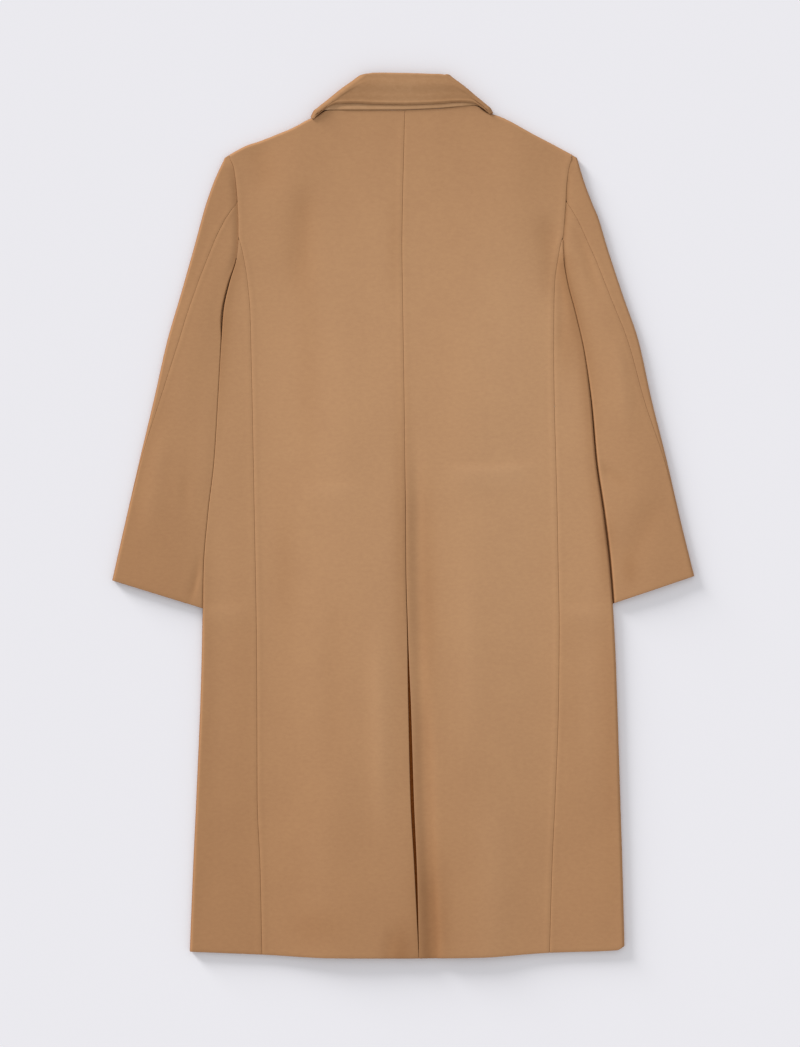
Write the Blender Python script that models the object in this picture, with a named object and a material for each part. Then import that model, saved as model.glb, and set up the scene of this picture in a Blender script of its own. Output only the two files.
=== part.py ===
"""A long wool coat, laid flat on its fronts with its back facing up.

Sizes and tables are in millimetres. "Out" is a distance from the nape towards either side, and
"depth" is a distance down from the nape, both measured on the surface that the coat lies on.
+X is the wearer's right, +Y points to the collar and +Z up. The origin is under the middle.
"""
import math
from collections import namedtuple

import bmesh
import bpy
from mathutils import Vector

MM = 0.001
NAPE_X = 2.5            # the nape lies a little right of the middle between the two cuffs
NAPE_Y = 566.8          # and this far above the middle between the collar's top and the hem

CLOTH = 2.6             # heavy coating with what backs it, as one wall
SEAM = 0.3              # between two pieces that are sewn together
LAYER = CLOTH + SEAM    # one layer of cloth raises the next by this much
HALF = 3.9              # half the height of the flattened coat at a fold, measured outside
FULL = 2 * HALF
UNDERLAP_CLOTH = 2.0    # the vent's underlap is a single layer

SIDES = {"left": -1, "right": 1}

# Body: the two edges, the two side-back seams and the centre-back seam at each depth. Above the
# underarm the edge is the armhole. "slit" is the space between the two centre backs.
Section = namedtuple("Section", "depth left_edge left_seam centre slit right_seam right_edge")
BODY = [Section(*row) for row in (
    (-10, 246.0, 246.0, 0.0, 0.3, 234.0, 234.0),
    (62, 246.0, 246.0, -1.7, 0.3, 234.0, 234.0),
    (80, 239.5, 239.5, -2.2, 0.3, 229.5, 229.5),
    (104, 236.0, 236.0, -2.8, 0.3, 226.0, 226.0),
    (130, 234.0, 234.0, -3.3, 0.3, 224.6, 224.6),
    (156, 232.8, 232.8, -3.8, 0.3, 222.7, 222.7),
    (182, 232.8, 231.3, -4.2, 0.3, 218.9, 220.4),
    (209, 236.0, 225.0, -4.0, 0.3, 213.6, 222.0),
    (240, 245.5, 220.3, -3.5, 0.3, 209.5, 227.5),
    (280, 254.0, 216.6, -2.9, 0.3, 208.3, 238.0),
    (340, 258.0, 215.0, -2.0, 0.3, 208.0, 251.5),
    (410, 262.0, 213.4, -1.0, 0.3, 208.9, 260.5),
    (490, 267.0, 211.8, 0.0, 0.3, 211.0, 267.0),
    (560, 275.2, 210.5, 1.0, 0.3, 212.8, 277.0),
    (640, 281.8, 209.0, 1.4, 0.3, 214.3, 286.5),
    (720, 283.5, 207.6, 3.4, 0.6, 215.7, 292.5),
    (780, 284.8, 207.1, 4.9, 2.2, 215.3, 295.3),
    (830, 286.3, 206.8, 6.4, 3.6, 214.7, 297.0),
    (960, 291.8, 206.4, 10.0, 4.0, 210.0, 301.0),
    (1060, 296.3, 202.3, 15.0, 2.8, 205.5, 304.0),
    (1180, 301.0, 199.8, 19.6, 0.8, 202.0, 307.0),
)]

# The back's top edge: the neck seam, then the shoulder's outline, as (out, depth).
TOP_EDGE = {
    "left": ((0, 0.3), (60, 0.4), (106, 0.6), (114, 2.5), (124, 8.0), (134, 12.3), (159, 25.5),
             (181, 34.4), (203, 43.0), (221, 48.8), (246, 62.0)),
    "right": ((0, 0.3), (50, -2.0), (98, -6.0), (106, -2.0), (114, 2.5), (120, 4.8), (133, 9.0),
              (181, 34.2), (207, 47.5), (234, 62.0)),
}
SHOULDER_START = {"left": 112, "right": 105}    # where the neck seam ends, out from the nape
SHOULDER_OUT = (0.43, -0.90)                    # the shoulder outline's outward normal (out, depth)
SHOULDER_TURNS = (0, 30, 60, 90)                # degrees round the shoulder's fold, outline to top
SHOULDER_RUN_IN = 8                             # the fold grows over this length beside the neck
NECK_ROW_STEP = 1.3                             # those rows' spacing at the neck, where none folds

HEM = ((-301, 1176.0), (-200, 1180.0), (-100, 1184.7), (0, 1185.0), (100, 1184.0), (200, 1177.5),
       (296, 1174.0), (307, 1168.0))
HEM_LEVEL, HEM_START = 1180.0, 900.0    # the last level row, and where the rows start to bend

# Where one layer lifts what lies on it: distances out, and depths, over which the lift fades.
COLLAR_END_OUT, COLLAR_END_DEPTHS = (145, 225), (115, 190)
OVERLAP_OUT, OVERLAP_DEPTHS = (75, 215), (60, 240)

# Fronts, hidden underneath: the V neck and the overlap, and the seam to the side body.
FRONT_EDGE = {
    "left": ((-5, 114), (75, 74), (205, 0), (330, -70), (1200, -70)),
    "right": ((-5, 107), (75, 70), (205, 0), (330, -70), (1200, -70)),
}
FRONT_NECK_OUT = {"left": 117.0, "right": 110.0}
FRONT_SEAM = {
    "left": ((182, 231), (209, 219), (1200, 248)),
    "right": ((182, 218.5), (209, 206), (1200, 252)),
}
OVERLAP_RAMP = (95.0, 48.0)     # the inner front rises over the outer one between these distances

# Rows of points down the body. The first ones run along the shoulder and turn level at the underarm.
UNDERARM = 209
SIDE_TOP = 182          # the side-back seam leaves the armhole here
ARMHOLE_DEPTHS = (78, 95, 112, 130, 148, 165, 182, 196, 209)
BACK_DEPTHS = (222, 240, 265, 300, 340, 385, 430, 475, 520, 565, 610, 650, 690, 720, 760, 800, 850,
               900, 950, 1000, 1050, 1100, 1145, 1180)
FRONT_DEPTHS = (240, 280, 330, 400, 500, 600, 720, 840, 960, 1070, 1180)
BACK_SHARES = {         # columns across a centre back, from the centre to its outer edge
    "left": (0, 0.02, 0.055, 0.1, 0.2, 0.33, 0.457, 0.49, 0.6, 0.73, 0.87, 1),
    "right": (0, 0.02, 0.055, 0.1, 0.2, 0.33, 0.45, 0.485, 0.6, 0.73, 0.87, 1),
}
FRONT_COLUMNS = 10
FOLD_TURNS = (90, 45, 0, -45, -90)

# The pleat shadow beside the centre-back seam: the left back dips to the seam, the right back's
# edge stands proud and a trough runs beside it.
PLEAT_DEPTHS = (420.0, 600.0)       # it fades in between these depths
PLEAT_LIFT, PLEAT_LIFT_DEPTHS = 1.5, (250, 450)
LEFT_DIP, LEFT_DIP_WIDTH = 1.4, 16.0
RIGHT_TROUGH, TROUGH_PLACE, TROUGH_WIDTH = 1.3, 15.0, 9.0

# Sleeves, by the depth of the row's inner end: the row's outer end, and the back seam's place as a
# share of the row, from the inner end.
SleeveRow = namedtuple("SleeveRow", "inner_depth outer_out outer_depth seam_share")
SLEEVES = {
    "left": [SleeveRow(*row) for row in (
        (62, 252.0, 66.0, 0.0),
        (95, 267.0, 99.0, 0.0),
        (130, 281.0, 140.0, 0.03),
        (152, 286.5, 160.0, 0.35),
        (182, 293.0, 184.0, 0.49),
        (209, 300.5, 211.0, 0.58),
        (262, 315.0, 262.0, 0.66),
        (328, 332.0, 320.0, 0.80),
        (418, 350.7, 402.5, 0.963),
        (510, 371.0, 488.0, 1.0),
        (605, 391.0, 575.0, 1.0),
        (696, 409.5, 657.0, 1.0),
    )],
    "right": [SleeveRow(*row) for row in (
        (62, 240.5, 66.0, 0.0),
        (95, 250.0, 98.0, 0.0),
        (130, 265.5, 138.0, 0.04),
        (152, 273.0, 158.0, 0.37),
        (182, 280.5, 184.0, 0.57),
        (213, 290.0, 214.0, 0.68),
        (262, 306.0, 262.0, 0.744),
        (330, 326.0, 320.0, 0.837),
        (415, 344.4, 402.5, 0.97),
        (508, 366.0, 489.0, 1.0),
        (601, 386.0, 576.0, 1.0),
        (689, 404.5, 651.0, 1.0),
    )],
}
SLEEVE_DEPTHS = (62.5, 67) + ARMHOLE_DEPTHS + (
    225, 245, 270, 300, 340, 385, 430, 480, 530, 580, 625, 660)
CUFF_DEPTH = {"left": 696, "right": 689}
SLEEVE_GAP = {"left": 0.8, "right": 1.2}        # between the body's edge and the sleeve's inner fold
SLEEVE_GAP_DEPTH = 245                          # it opens to that here, from the underarm
SLEEVE_CROWN, CROWN_DEPTHS = 1.1, (169, 300)
SLEEVE_HEAD_HEIGHT, HEAD_DEPTHS = 5.6, (60, 78)     # the sleeve's head closes to this height
UNDER_SLEEVE_TOP = 130                          # the back seam leaves the armhole here
FRONT_ARM_SEAM_TOP = 165
FRONT_ARM_SEAM = ((165, 2), (209, 12), (260, 26), (700, 30))   # in from the sleeve's inner edge
SEAM_STEP, SEAM_HALF_STEP = 1.5, 0.8            # room kept for columns beside a seam on a fold

# Collar stations round the neck, from the centre back to one front end. "turn" is the way the
# cloth faces: 90 up, 0 sideways, -90 down. The roll is where the leaf folds over the stand. "lean"
# is 0 where the roll faces straight up and 1 where it faces along the leaf, and "droop" is how far
# the leaf's edge hangs over the shoulder.
Station = namedtuple("Station", "turn roll_out roll_depth lean edge_out edge_depth droop "
                     "neck_out neck_depth")
COLLAR = {
    "left": [Station(*row) for row in (
        (90, 20.0, -48.9, 0.0, 44.0, -7.8, 0, 50.0, 0.0),
        (90, 38.0, -49.0, 0.0, 80.0, -9.5, 0, 86.0, 0.0),
        (90, 46.5, -48.2, 0.1, 102.0, -8.3, 0, 105.5, 0.0),
        (90, 48.5, -47.8, 0.2, 122.8, 5.5, 0, 114.4, -0.3),
        (60, 50.5, -46.4, 0.4, 122.8, 5.5, 3, 114.4, -0.3),
        (30, 53.0, -44.6, 0.7, 122.8, 5.5, 5, 114.4, -0.3),
        (0, 56.5, -42.0, 1.0, 122.8, 5.5, 5, 114.4, -0.3),
        (-30, 57.5, -41.3, 1.0, 122.8, 5.5, 5, 114.4, -0.3),
        (-60, 58.0, -40.9, 1.0, 122.8, 5.5, 5, 114.4, -0.3),
        (-90, 58.5, -40.6, 1.0, 122.8, 5.5, 6, 114.4, -0.3),
        (-90, 61.0, -10.0, 1.0, 137.0, 30.0, 0, 104.4, 12.0),
        (-90, 61.0, 25.0, 1.0, 130.0, 68.0, 0, 90.4, 40.0),
        (-90, 60.0, 70.0, 1.0, 112.0, 108.0, 0, 72.3, 76.0),
    )],
    "right": [Station(*row) for row in (
        (90, 20.0, -48.4, 0.0, 40.0, -8.3, 0, 46.0, -2.2),
        (90, 38.0, -47.7, 0.0, 74.0, -10.5, 0, 80.0, -5.1),
        (90, 50.5, -47.0, 0.1, 97.0, -10.3, 0, 97.5, -6.4),
        (90, 52.5, -46.4, 0.2, 119.5, 5.2, 0, 107.0, -4.4),
        (60, 54.0, -45.3, 0.35, 119.5, 5.2, 0, 107.0, -4.4),
        (30, 55.5, -44.1, 0.55, 119.5, 5.2, 1, 107.0, -4.4),
        (0, 57.0, -43.0, 0.8, 119.5, 5.2, 2, 107.0, -4.4),
        (-30, 57.0, -43.0, 1.0, 119.5, 5.2, 3, 107.0, -4.4),
        (-60, 57.0, -43.0, 1.0, 119.5, 5.2, 3, 107.0, -4.4),
        (-90, 57.0, -43.0, 1.0, 119.5, 5.2, 4, 107.0, -4.4),
        (-90, 57.0, -10.0, 1.0, 131.0, 28.0, 0, 97.9, 12.0),
        (-90, 57.0, 25.0, 1.0, 126.0, 66.0, 0, 84.9, 40.0),
        (-90, 57.0, 70.0, 1.0, 110.0, 106.0, 0, 68.4, 76.0),
    )],
}
COLLAR_CENTRE = Station(90, 0.0, -48.9, 0.0, 0.0, -7.0, 0, 0.0, -0.2)
COLLAR_MIDDLE = LAYER + HALF            # the height that the flattened collar closes about
STAND_OUTSIDE = HALF                    # distances from that middle
STAND_INSIDE = HALF - CLOTH
STAND_TOP = 2.0                         # the stand ends this far below the roll
LEAF_OUTSIDE = HALF + LAYER
LEAF_INSIDE = HALF + SEAM
ROLL_TURNS = (45, 0, -45)
LEAF_SHARES = (0.0, 0.3, 0.6, 0.9, 1.0)     # rows down the leaf; its last stretch can droop

VENT_TOP, VENT_END = 700.0, 1172.0
UNDERLAP_LEFT, UNDERLAP_RIGHT = 30.0, 26.0      # out from the centre-back line
UNDERLAP_ROWS = 12


# ---------------------------------------------------------------- curves and steps

def smooth(value, start, end):
    """0 before start, 1 after end, and an even rise between them."""
    share = min(max((value - start) / (end - start), 0.0), 1.0)
    return share * share * (3 - 2 * share)


def mix(first, last, share):
    return first + (last - first) * share


def straight_curve(points):
    """A function through (place, value) points, straight between them."""
    def value(place):
        place = min(max(place, points[0][0]), points[-1][0])
        for (p0, v0), (p1, v1) in zip(points, points[1:]):
            if place <= p1:
                return mix(v0, v1, (place - p0) / (p1 - p0))
        return points[-1][1]
    return value


def soft_curve(points):
    """A function through (place, value) points that bends softly and never overshoots them."""
    places = [p for p, _ in points]
    values = [v for _, v in points]
    steps = [b - a for a, b in zip(places, places[1:])]
    slopes = [(b - a) / s for a, b, s in zip(values, values[1:], steps)]
    tangents = [slopes[0]]
    for before, after in zip(slopes, slopes[1:]):
        tangents.append(2 * before * after / (before + after) if before * after > 0 else 0.0)
    tangents.append(slopes[-1])

    def value(place):
        place = min(max(place, places[0]), places[-1])
        i = 0
        while i < len(steps) - 1 and place > places[i + 1]:
            i += 1
        t = (place - places[i]) / steps[i]
        return ((1 + 2 * t) * (1 - t) ** 2 * values[i] + t * (1 - t) ** 2 * steps[i] * tangents[i]
                + t * t * (3 - 2 * t) * values[i + 1] + t * t * (t - 1) * steps[i] * tangents[i + 1])
    return value


def table_curve(rows, column):
    """One named column of a table, against the table's first column."""
    return soft_curve([(row[0], getattr(row, column)) for row in rows])


CENTRE = table_curve(BODY, "centre")
SLIT = table_curve(BODY, "slit")
EDGE = {side: table_curve(BODY, side + "_edge") for side in SIDES}
SIDE_SEAM = {side: table_curve(BODY, side + "_seam") for side in SIDES}
TOP = {side: soft_curve(TOP_EDGE[side]) for side in SIDES}
FRONT = {side: straight_curve(FRONT_EDGE[side]) for side in SIDES}
UNDER = {side: straight_curve(FRONT_SEAM[side]) for side in SIDES}
HEM_LINE = soft_curve(HEM)
ARM_FRONT = soft_curve(FRONT_ARM_SEAM)


def place(x, depth, height):
    """A point of the coat, in metres."""
    return Vector(((x + NAPE_X) * MM, (NAPE_Y - depth) * MM, height * MM))


# ---------------------------------------------------------------- heights

def neck_share(out):
    return 1 - smooth(out, *COLLAR_END_OUT)


def back_lift(out, depth):
    """How far the back lies above its height at a side edge: over the fronts' overlap and the
    collar's front ends."""
    body = 1 - smooth(out, *OVERLAP_OUT)
    low = smooth(depth, *OVERLAP_DEPTHS)
    return (LAYER * mix(neck_share(out), body, low)
            + PLEAT_LIFT * body * smooth(depth, *PLEAT_LIFT_DEPTHS))


def pleat(side, distance, depth):
    """The soft fold beside the centre-back seam, at a distance from it."""
    fade = smooth(depth, *PLEAT_DEPTHS)
    if side == "left":
        return -LEFT_DIP * fade * math.exp(-(distance / LEFT_DIP_WIDTH) ** 2)
    return -RIGHT_TROUGH * fade * math.exp(-((distance - TROUGH_PLACE) / TROUGH_WIDTH) ** 2)


def back_top(side, x, depth):
    """Height of the back's outer face."""
    out = abs(x)
    distance = abs(x - CENTRE(depth))
    return FULL + back_lift(out, depth) + pleat(side, distance, depth)


def front_bottom(side, x, depth):
    """Height of a front's outer face, which lies on the floor or on the layer under it."""
    lift = LAYER * neck_share(abs(x)) * (1 - smooth(depth, *COLLAR_END_DEPTHS))
    if side == "left":
        outer_front_edge = FRONT["right"](depth)
        start, end = OVERLAP_RAMP
        lift += LAYER * smooth(x, outer_front_edge - start, outer_front_edge - end)
    return lift


def hem_depth(x, depth):
    """A level row's depth, bent to the hem's line as it nears the hem."""
    return depth + (HEM_LINE(x) - HEM_LEVEL) * smooth(depth, HEM_START, HEM_LEVEL)


# ---------------------------------------------------------------- meshes

def finish(name, mesh_data, colour, roughness):
    """Turn built faces into one named object with its own material."""
    bmesh.ops.recalc_face_normals(mesh_data, faces=mesh_data.faces)
    mesh = bpy.data.meshes.new(name)
    mesh_data.to_mesh(mesh)
    mesh_data.free()
    mesh.shade_smooth()
    mesh.set_sharp_from_angle(angle=math.radians(50))
    material = bpy.data.materials.new(name + "_wool")
    material.use_nodes = True
    shader = material.node_tree.nodes["Principled BSDF"]
    shader.inputs["Base Color"].default_value = (*colour, 1.0)
    shader.inputs["Roughness"].default_value = roughness
    shader.inputs["Metallic"].default_value = 0.0
    mesh.materials.append(material)
    made = bpy.data.objects.new(name, mesh)
    bpy.context.scene.collection.objects.link(made)
    return made


def wall(name, outer, inner, colour, roughness=0.95, missing=()):
    """A closed wall of cloth between two grids of points. "missing" holds the cells, as
    (row, column), that the piece's cut leaves out."""
    mesh_data = bmesh.new()
    rows, columns = len(outer), len(outer[0])
    cells = {(r, c) for r in range(rows - 1) for c in range(columns - 1)} - set(missing)
    grids = ({}, {})

    def corner(face_side, r, c):
        found = grids[face_side]
        if (r, c) not in found:
            found[r, c] = mesh_data.verts.new((outer, inner)[face_side][r][c])
        return found[r, c]

    for r, c in sorted(cells):
        ring = ((r, c), (r, c + 1), (r + 1, c + 1), (r + 1, c))
        mesh_data.faces.new([corner(0, *spot) for spot in ring])
        mesh_data.faces.new([corner(1, *spot) for spot in reversed(ring)])
        neighbours = ((r - 1, c), (r, c + 1), (r + 1, c), (r, c - 1))
        for k, neighbour in enumerate(neighbours):
            if neighbour not in cells:
                a, b = ring[k], ring[(k + 1) % 4]
                mesh_data.faces.new((corner(0, *b), corner(0, *a), corner(1, *a), corner(1, *b)))
    return finish(name, mesh_data, colour, roughness)


def sweep(name, loops, colour, roughness=0.95):
    """A closed solid through a row of closed loops, with its two ends filled."""
    mesh_data = bmesh.new()
    rings = [[mesh_data.verts.new(point) for point in loop] for loop in loops]
    count = len(rings[0])
    for first, second in zip(rings, rings[1:]):
        for k in range(count):
            m = (k + 1) % count
            mesh_data.faces.new((first[k], first[m], second[m], second[k]))
    mesh_data.faces.new(rings[0])
    mesh_data.faces.new(list(reversed(rings[-1])))
    return finish(name, mesh_data, colour, roughness)


# ---------------------------------------------------------------- rows along the shoulder

def shoulder_rows(side, outs, facing):
    """The rows round the shoulder's fold. facing is 1 for the back and -1 for a front. Each spot
    is (out, depth) for the outer and the inner face, with both heights."""
    rows = []
    for index, turn in enumerate(SHOULDER_TURNS):
        angle = math.radians(turn)
        row = []
        for out in outs:
            fold = min(max((out - SHOULDER_START[side]) / SHOULDER_RUN_IN, 0.0), 1.0)
            depth = TOP[side](out)
            middle = LAYER * neck_share(out) + HALF + (facing * SEAM / 2 if index == 0 else 0.0)
            level = (1 - fold) * NECK_ROW_STEP * index
            spots = []
            for radius in (HALF, HALF - CLOTH):
                back_off = fold * (HALF - radius * math.cos(angle))
                spots.append((out - SHOULDER_OUT[0] * back_off,
                              depth - SHOULDER_OUT[1] * back_off + level,
                              middle + facing * radius * mix(1.0, math.sin(angle), fold)))
            row.append(spots)
        rows.append(row)
    return rows


def yoke_depth(top, top_at_end, depth):
    """Rows follow the shoulder at the top and are level at the underarm."""
    if depth >= UNDERARM:
        return depth
    return UNDERARM - (UNDERARM - depth) * (UNDERARM - top) / (UNDERARM - top_at_end)


# ---------------------------------------------------------------- body

def back(side, colour):
    """A centre back: from the centre-back seam to the armhole and the side-back seam."""
    sign = SIDES[side]
    shares = BACK_SHARES[side]
    end_out = EDGE[side](0) - SEAM / 2
    start_x = CENTRE(0) + sign * SEAM / 2
    outs = [sign * mix(start_x, sign * end_out, share) for share in shares]
    fold_rows = shoulder_rows(side, outs, 1)
    outer, inner = [], []
    for row in fold_rows:
        outer.append([place(sign * a[0], a[1], a[2]) for a, _ in row])
        inner.append([place(sign * b[0], b[1], b[2]) for _, b in row])
    tops = [a[1] for a, _ in fold_rows[-1]]
    for depth in ARMHOLE_DEPTHS + BACK_DEPTHS:
        centre_depth = yoke_depth(tops[0], tops[-1], depth)
        start = CENTRE(centre_depth) + sign * SLIT(centre_depth) / 2
        end = sign * (SIDE_SEAM[side](depth) - SEAM / 2)
        outer_row, inner_row = [], []
        for share, top in zip(shares, tops):
            x = mix(start, end, share)
            spot = hem_depth(x, yoke_depth(top, tops[-1], depth))
            height = back_top(side, x, spot)
            outer_row.append(place(x, spot, height))
            inner_row.append(place(x, spot, height - CLOTH))
        outer.append(outer_row)
        inner.append(inner_row)
    return wall("back_" + side, outer, inner, colour)


def side_body(side, colour):
    """A side body: from the side-back seam, round the side fold and under to the front."""
    sign = SIDES[side]
    depths = [d for d in ARMHOLE_DEPTHS if d >= SIDE_TOP] + list(BACK_DEPTHS)
    flat_steps = 3
    outer, inner, missing = [], [], []
    for r, depth in enumerate(depths):
        is_open = depth < UNDERARM
        edge = EDGE[side](depth) - (SEAM / 2 if is_open else 0.0)
        fold_start = edge if is_open else edge - HALF
        seam = SIDE_SEAM[side](depth) + SEAM / 2
        under = UNDER[side](depth) + SEAM / 2
        spots = []
        for k in range(flat_steps):
            out = mix(seam, fold_start, k / flat_steps)
            top = back_top(side, sign * out, depth)
            spots.append(((out, top), (out, top - CLOTH)))
        for turn in FOLD_TURNS:
            angle = math.radians(turn)
            reach = 0.0 if is_open else math.cos(angle)
            spots.append(tuple((fold_start + radius * reach, HALF + radius * math.sin(angle))
                               for radius in (HALF, HALF - CLOTH)))
        for k in range(flat_steps):
            out = mix(fold_start, under, (k + 1) / flat_steps)
            spots.append(((out, 0.0), (out, CLOTH)))
        outer.append([place(sign * a[0], hem_depth(sign * a[0], depth), a[1]) for a, _ in spots])
        inner.append([place(sign * b[0], hem_depth(sign * b[0], depth), b[1]) for _, b in spots])
        if is_open:
            missing += [(r, flat_steps + k) for k in range(len(FOLD_TURNS) - 1)]
    return wall("side_" + side, outer, inner, colour, missing=missing)


def front(side, colour):
    """A front, hidden underneath: from the side body and the armhole to its overlapped edge."""
    sign = SIDES[side]
    shares = [k / FRONT_COLUMNS for k in range(FRONT_COLUMNS + 1)]
    outs = [mix(EDGE[side](0) - SEAM / 2, FRONT_NECK_OUT[side], share) for share in shares]
    fold_rows = shoulder_rows(side, outs, -1)
    outer, inner = [], []
    for row in fold_rows:
        outer.append([place(sign * a[0], a[1], a[2]) for a, _ in row])
        inner.append([place(sign * b[0], b[1], b[2]) for _, b in row])
    tops = [a[1] for a, _ in fold_rows[-1]]
    for depth in ARMHOLE_DEPTHS + FRONT_DEPTHS:
        edge_depth = yoke_depth(tops[-1], tops[0], depth)
        end = sign * FRONT[side](edge_depth)
        start = sign * ((EDGE if depth < SIDE_TOP else UNDER)[side](depth) - SEAM / 2)
        outer_row, inner_row = [], []
        for share, top in zip(shares, tops):
            x = mix(start, end, share)
            spot = hem_depth(x, yoke_depth(top, tops[0], depth))
            height = front_bottom(side, x, spot)
            outer_row.append(place(x, spot, height))
            inner_row.append(place(x, spot, height + CLOTH))
        outer.append(outer_row)
        inner.append(inner_row)
    return wall("front_" + side, outer, inner, colour)


def vent_underlap(colour):
    """The strip behind the vent, between the backs and the fronts."""
    height = 2 * LAYER
    outer, inner = [], []
    for k in range(UNDERLAP_ROWS + 1):
        depth = mix(VENT_TOP, VENT_END, k / UNDERLAP_ROWS)
        ends = (CENTRE(depth) - UNDERLAP_LEFT, CENTRE(depth), CENTRE(depth) + UNDERLAP_RIGHT)
        outer.append([place(x, depth, height + UNDERLAP_CLOTH) for x in ends])
        inner.append([place(x, depth, height) for x in ends])
    return wall("vent_underlap", outer, inner, colour)


# ---------------------------------------------------------------- sleeves

class SleeveSection:
    """One row across a flattened sleeve, from its inner edge to its outer edge."""

    def __init__(self, side, depth):
        self.sign = SIDES[side]
        rows = SLEEVES[side]
        self.depth = depth
        self.is_open = depth < UNDERARM
        gap = mix(SEAM / 2, SLEEVE_GAP[side], smooth(depth, UNDERARM, SLEEVE_GAP_DEPTH))
        self.inner_end = Vector((EDGE[side](depth) + gap, depth))
        outer_end = Vector((table_curve(rows, "outer_out")(depth),
                            table_curve(rows, "outer_depth")(depth)))
        self.width = (outer_end - self.inner_end).length
        self.along = (outer_end - self.inner_end) / self.width
        height = mix(SLEEVE_HEAD_HEIGHT, FULL, smooth(depth, *HEAD_DEPTHS))
        self.radius = height / 2
        self.seam = table_curve(rows, "seam_share")(depth) * self.width
        self.crown = SLEEVE_CROWN * smooth(depth, *CROWN_DEPTHS)
        self.inner_start = 0.0 if self.is_open else self.radius

    def point(self, across, height):
        spot = self.inner_end + self.along * across
        return place(self.sign * spot.x, spot.y, height)

    def top_face(self, across):
        """Outer and inner points on the upper face."""
        flat_end = self.width - self.radius
        share = (across - self.inner_start) / (flat_end - self.inner_start)
        top = HALF + self.radius + self.crown * math.sin(math.pi * min(max(share, 0), 1))
        return self.point(across, top), self.point(across, top - CLOTH)

    def bottom_face(self, across):
        bottom = HALF - self.radius
        return self.point(across, bottom), self.point(across, bottom + CLOTH)

    def fold(self, centre, direction, turn):
        """Outer and inner points round an edge: centre is the fold's axis, turn is in degrees."""
        angle = math.radians(turn)
        return tuple(self.point(centre + direction * radius * math.cos(angle),
                                HALF + radius * math.sin(angle))
                     for radius in (self.radius, self.radius - CLOTH))

    def outer_path(self, run):
        """Points along the way over the outer edge. run is the length from where the upper face
        meets the fold: negative on the upper face, past the fold on the lower face."""
        flat_end = self.width - self.radius
        if run <= 0:
            return self.top_face(flat_end + run)
        if run >= math.pi * self.radius:
            return self.bottom_face(flat_end - (run - math.pi * self.radius))
        return self.fold(flat_end, 1, 90 - math.degrees(run / self.radius))


def sleeve_sections(side):
    return [SleeveSection(side, depth) for depth in SLEEVE_DEPTHS + (CUFF_DEPTH[side],)]


def top_sleeve(side, colour):
    """The outer half of a sleeve: from the back seam over the outer edge to the front seam."""
    outer, inner = [], []
    for section in sleeve_sections(side):
        half_turn = math.pi * section.radius
        seam_run = section.seam + SEAM / 2 - (section.width - section.radius)
        fold_run = max(0.0, seam_run + SEAM_STEP)
        front_seam = ARM_FRONT(section.depth) + SEAM / 2
        if section.depth < FRONT_ARM_SEAM_TOP:
            front_seam = 0.0
        end_run = half_turn + section.width - section.radius - front_seam
        runs = [mix(seam_run, fold_run, k / 3) for k in range(3)]
        runs += [mix(fold_run, half_turn, k / 4) for k in range(4)]
        runs += [mix(half_turn, end_run, k / 4) for k in range(5)]
        spots = [section.outer_path(run) for run in runs]
        outer.append([a for a, _ in spots])
        inner.append([b for _, b in spots])
    return wall("sleeve_top_" + side, outer, inner, colour)


def under_sleeve(side, colour):
    """The inner half of a sleeve: from the back seam over the upper face and the inner edge."""
    outer, inner, missing = [], [], []
    sections = [s for s in sleeve_sections(side) if s.depth >= UNDER_SLEEVE_TOP]
    near_seam, flat, fold = 2, 4, len(FOLD_TURNS) - 1
    for r, section in enumerate(sections):
        flat_end = section.width - section.radius
        seam_run = max(section.seam, SEAM_STEP) - SEAM / 2 - flat_end
        start_run = min(0.0, seam_run - SEAM_HALF_STEP)
        end_run = section.inner_start - flat_end
        runs = [mix(seam_run, start_run, k / near_seam) for k in range(near_seam)]
        runs += [mix(start_run, end_run, k / flat) for k in range(flat)]
        spots = [section.outer_path(run) for run in runs]
        if section.is_open:
            spots += [section.top_face(0.0)] + [section.bottom_face(0.0)] * fold
        else:
            spots += [section.fold(section.radius, -1, turn) for turn in FOLD_TURNS]
        front_seam = ARM_FRONT(section.depth) - SEAM / 2
        if section.depth >= FRONT_ARM_SEAM_TOP:
            spots += [section.bottom_face(mix(section.inner_start, front_seam, k / 2))
                      for k in (1, 2)]
        else:
            spots += [section.bottom_face(0.0)] * 2
        outer.append([a for a, _ in spots])
        inner.append([b for _, b in spots])
        first_fold = near_seam + flat
        if section.is_open:
            missing += [(r, first_fold + k) for k in range(fold)]
        if section.depth < FRONT_ARM_SEAM_TOP:
            missing += [(r, first_fold + fold + k) for k in range(2)]
    return wall("sleeve_under_" + side, outer, inner, colour, missing=missing)


# ---------------------------------------------------------------- collar

def collar_stations():
    """All stations as (sign, station), from the left front end to the right front end."""
    left = [(-1, station) for station in reversed(COLLAR["left"])]
    right = [(1, station) for station in COLLAR["right"]]
    return left + [(1, COLLAR_CENTRE)] + right


def collar_point(sign, station, low, share, beyond, radius):
    """A point of the collar. low is the (out, depth) at the bottom of the line through the roll,
    share the way down that line, beyond the distance past the roll, and radius the distance from
    the collar's middle."""
    roll = Vector((station.roll_out, station.roll_depth))
    up = (roll - low).normalized()
    sideways = Vector((-up.y, up.x))
    if sideways.x < 0:
        sideways.negate()
    outwards = Vector((0, -1)).lerp(up, station.lean).normalized()
    angle = math.radians(station.turn)
    spot = (roll.lerp(low, share) + outwards * beyond
            + sideways * (radius * math.cos(angle)))
    return place(sign * spot.x, spot.y, COLLAR_MIDDLE + radius * math.sin(angle))


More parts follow.
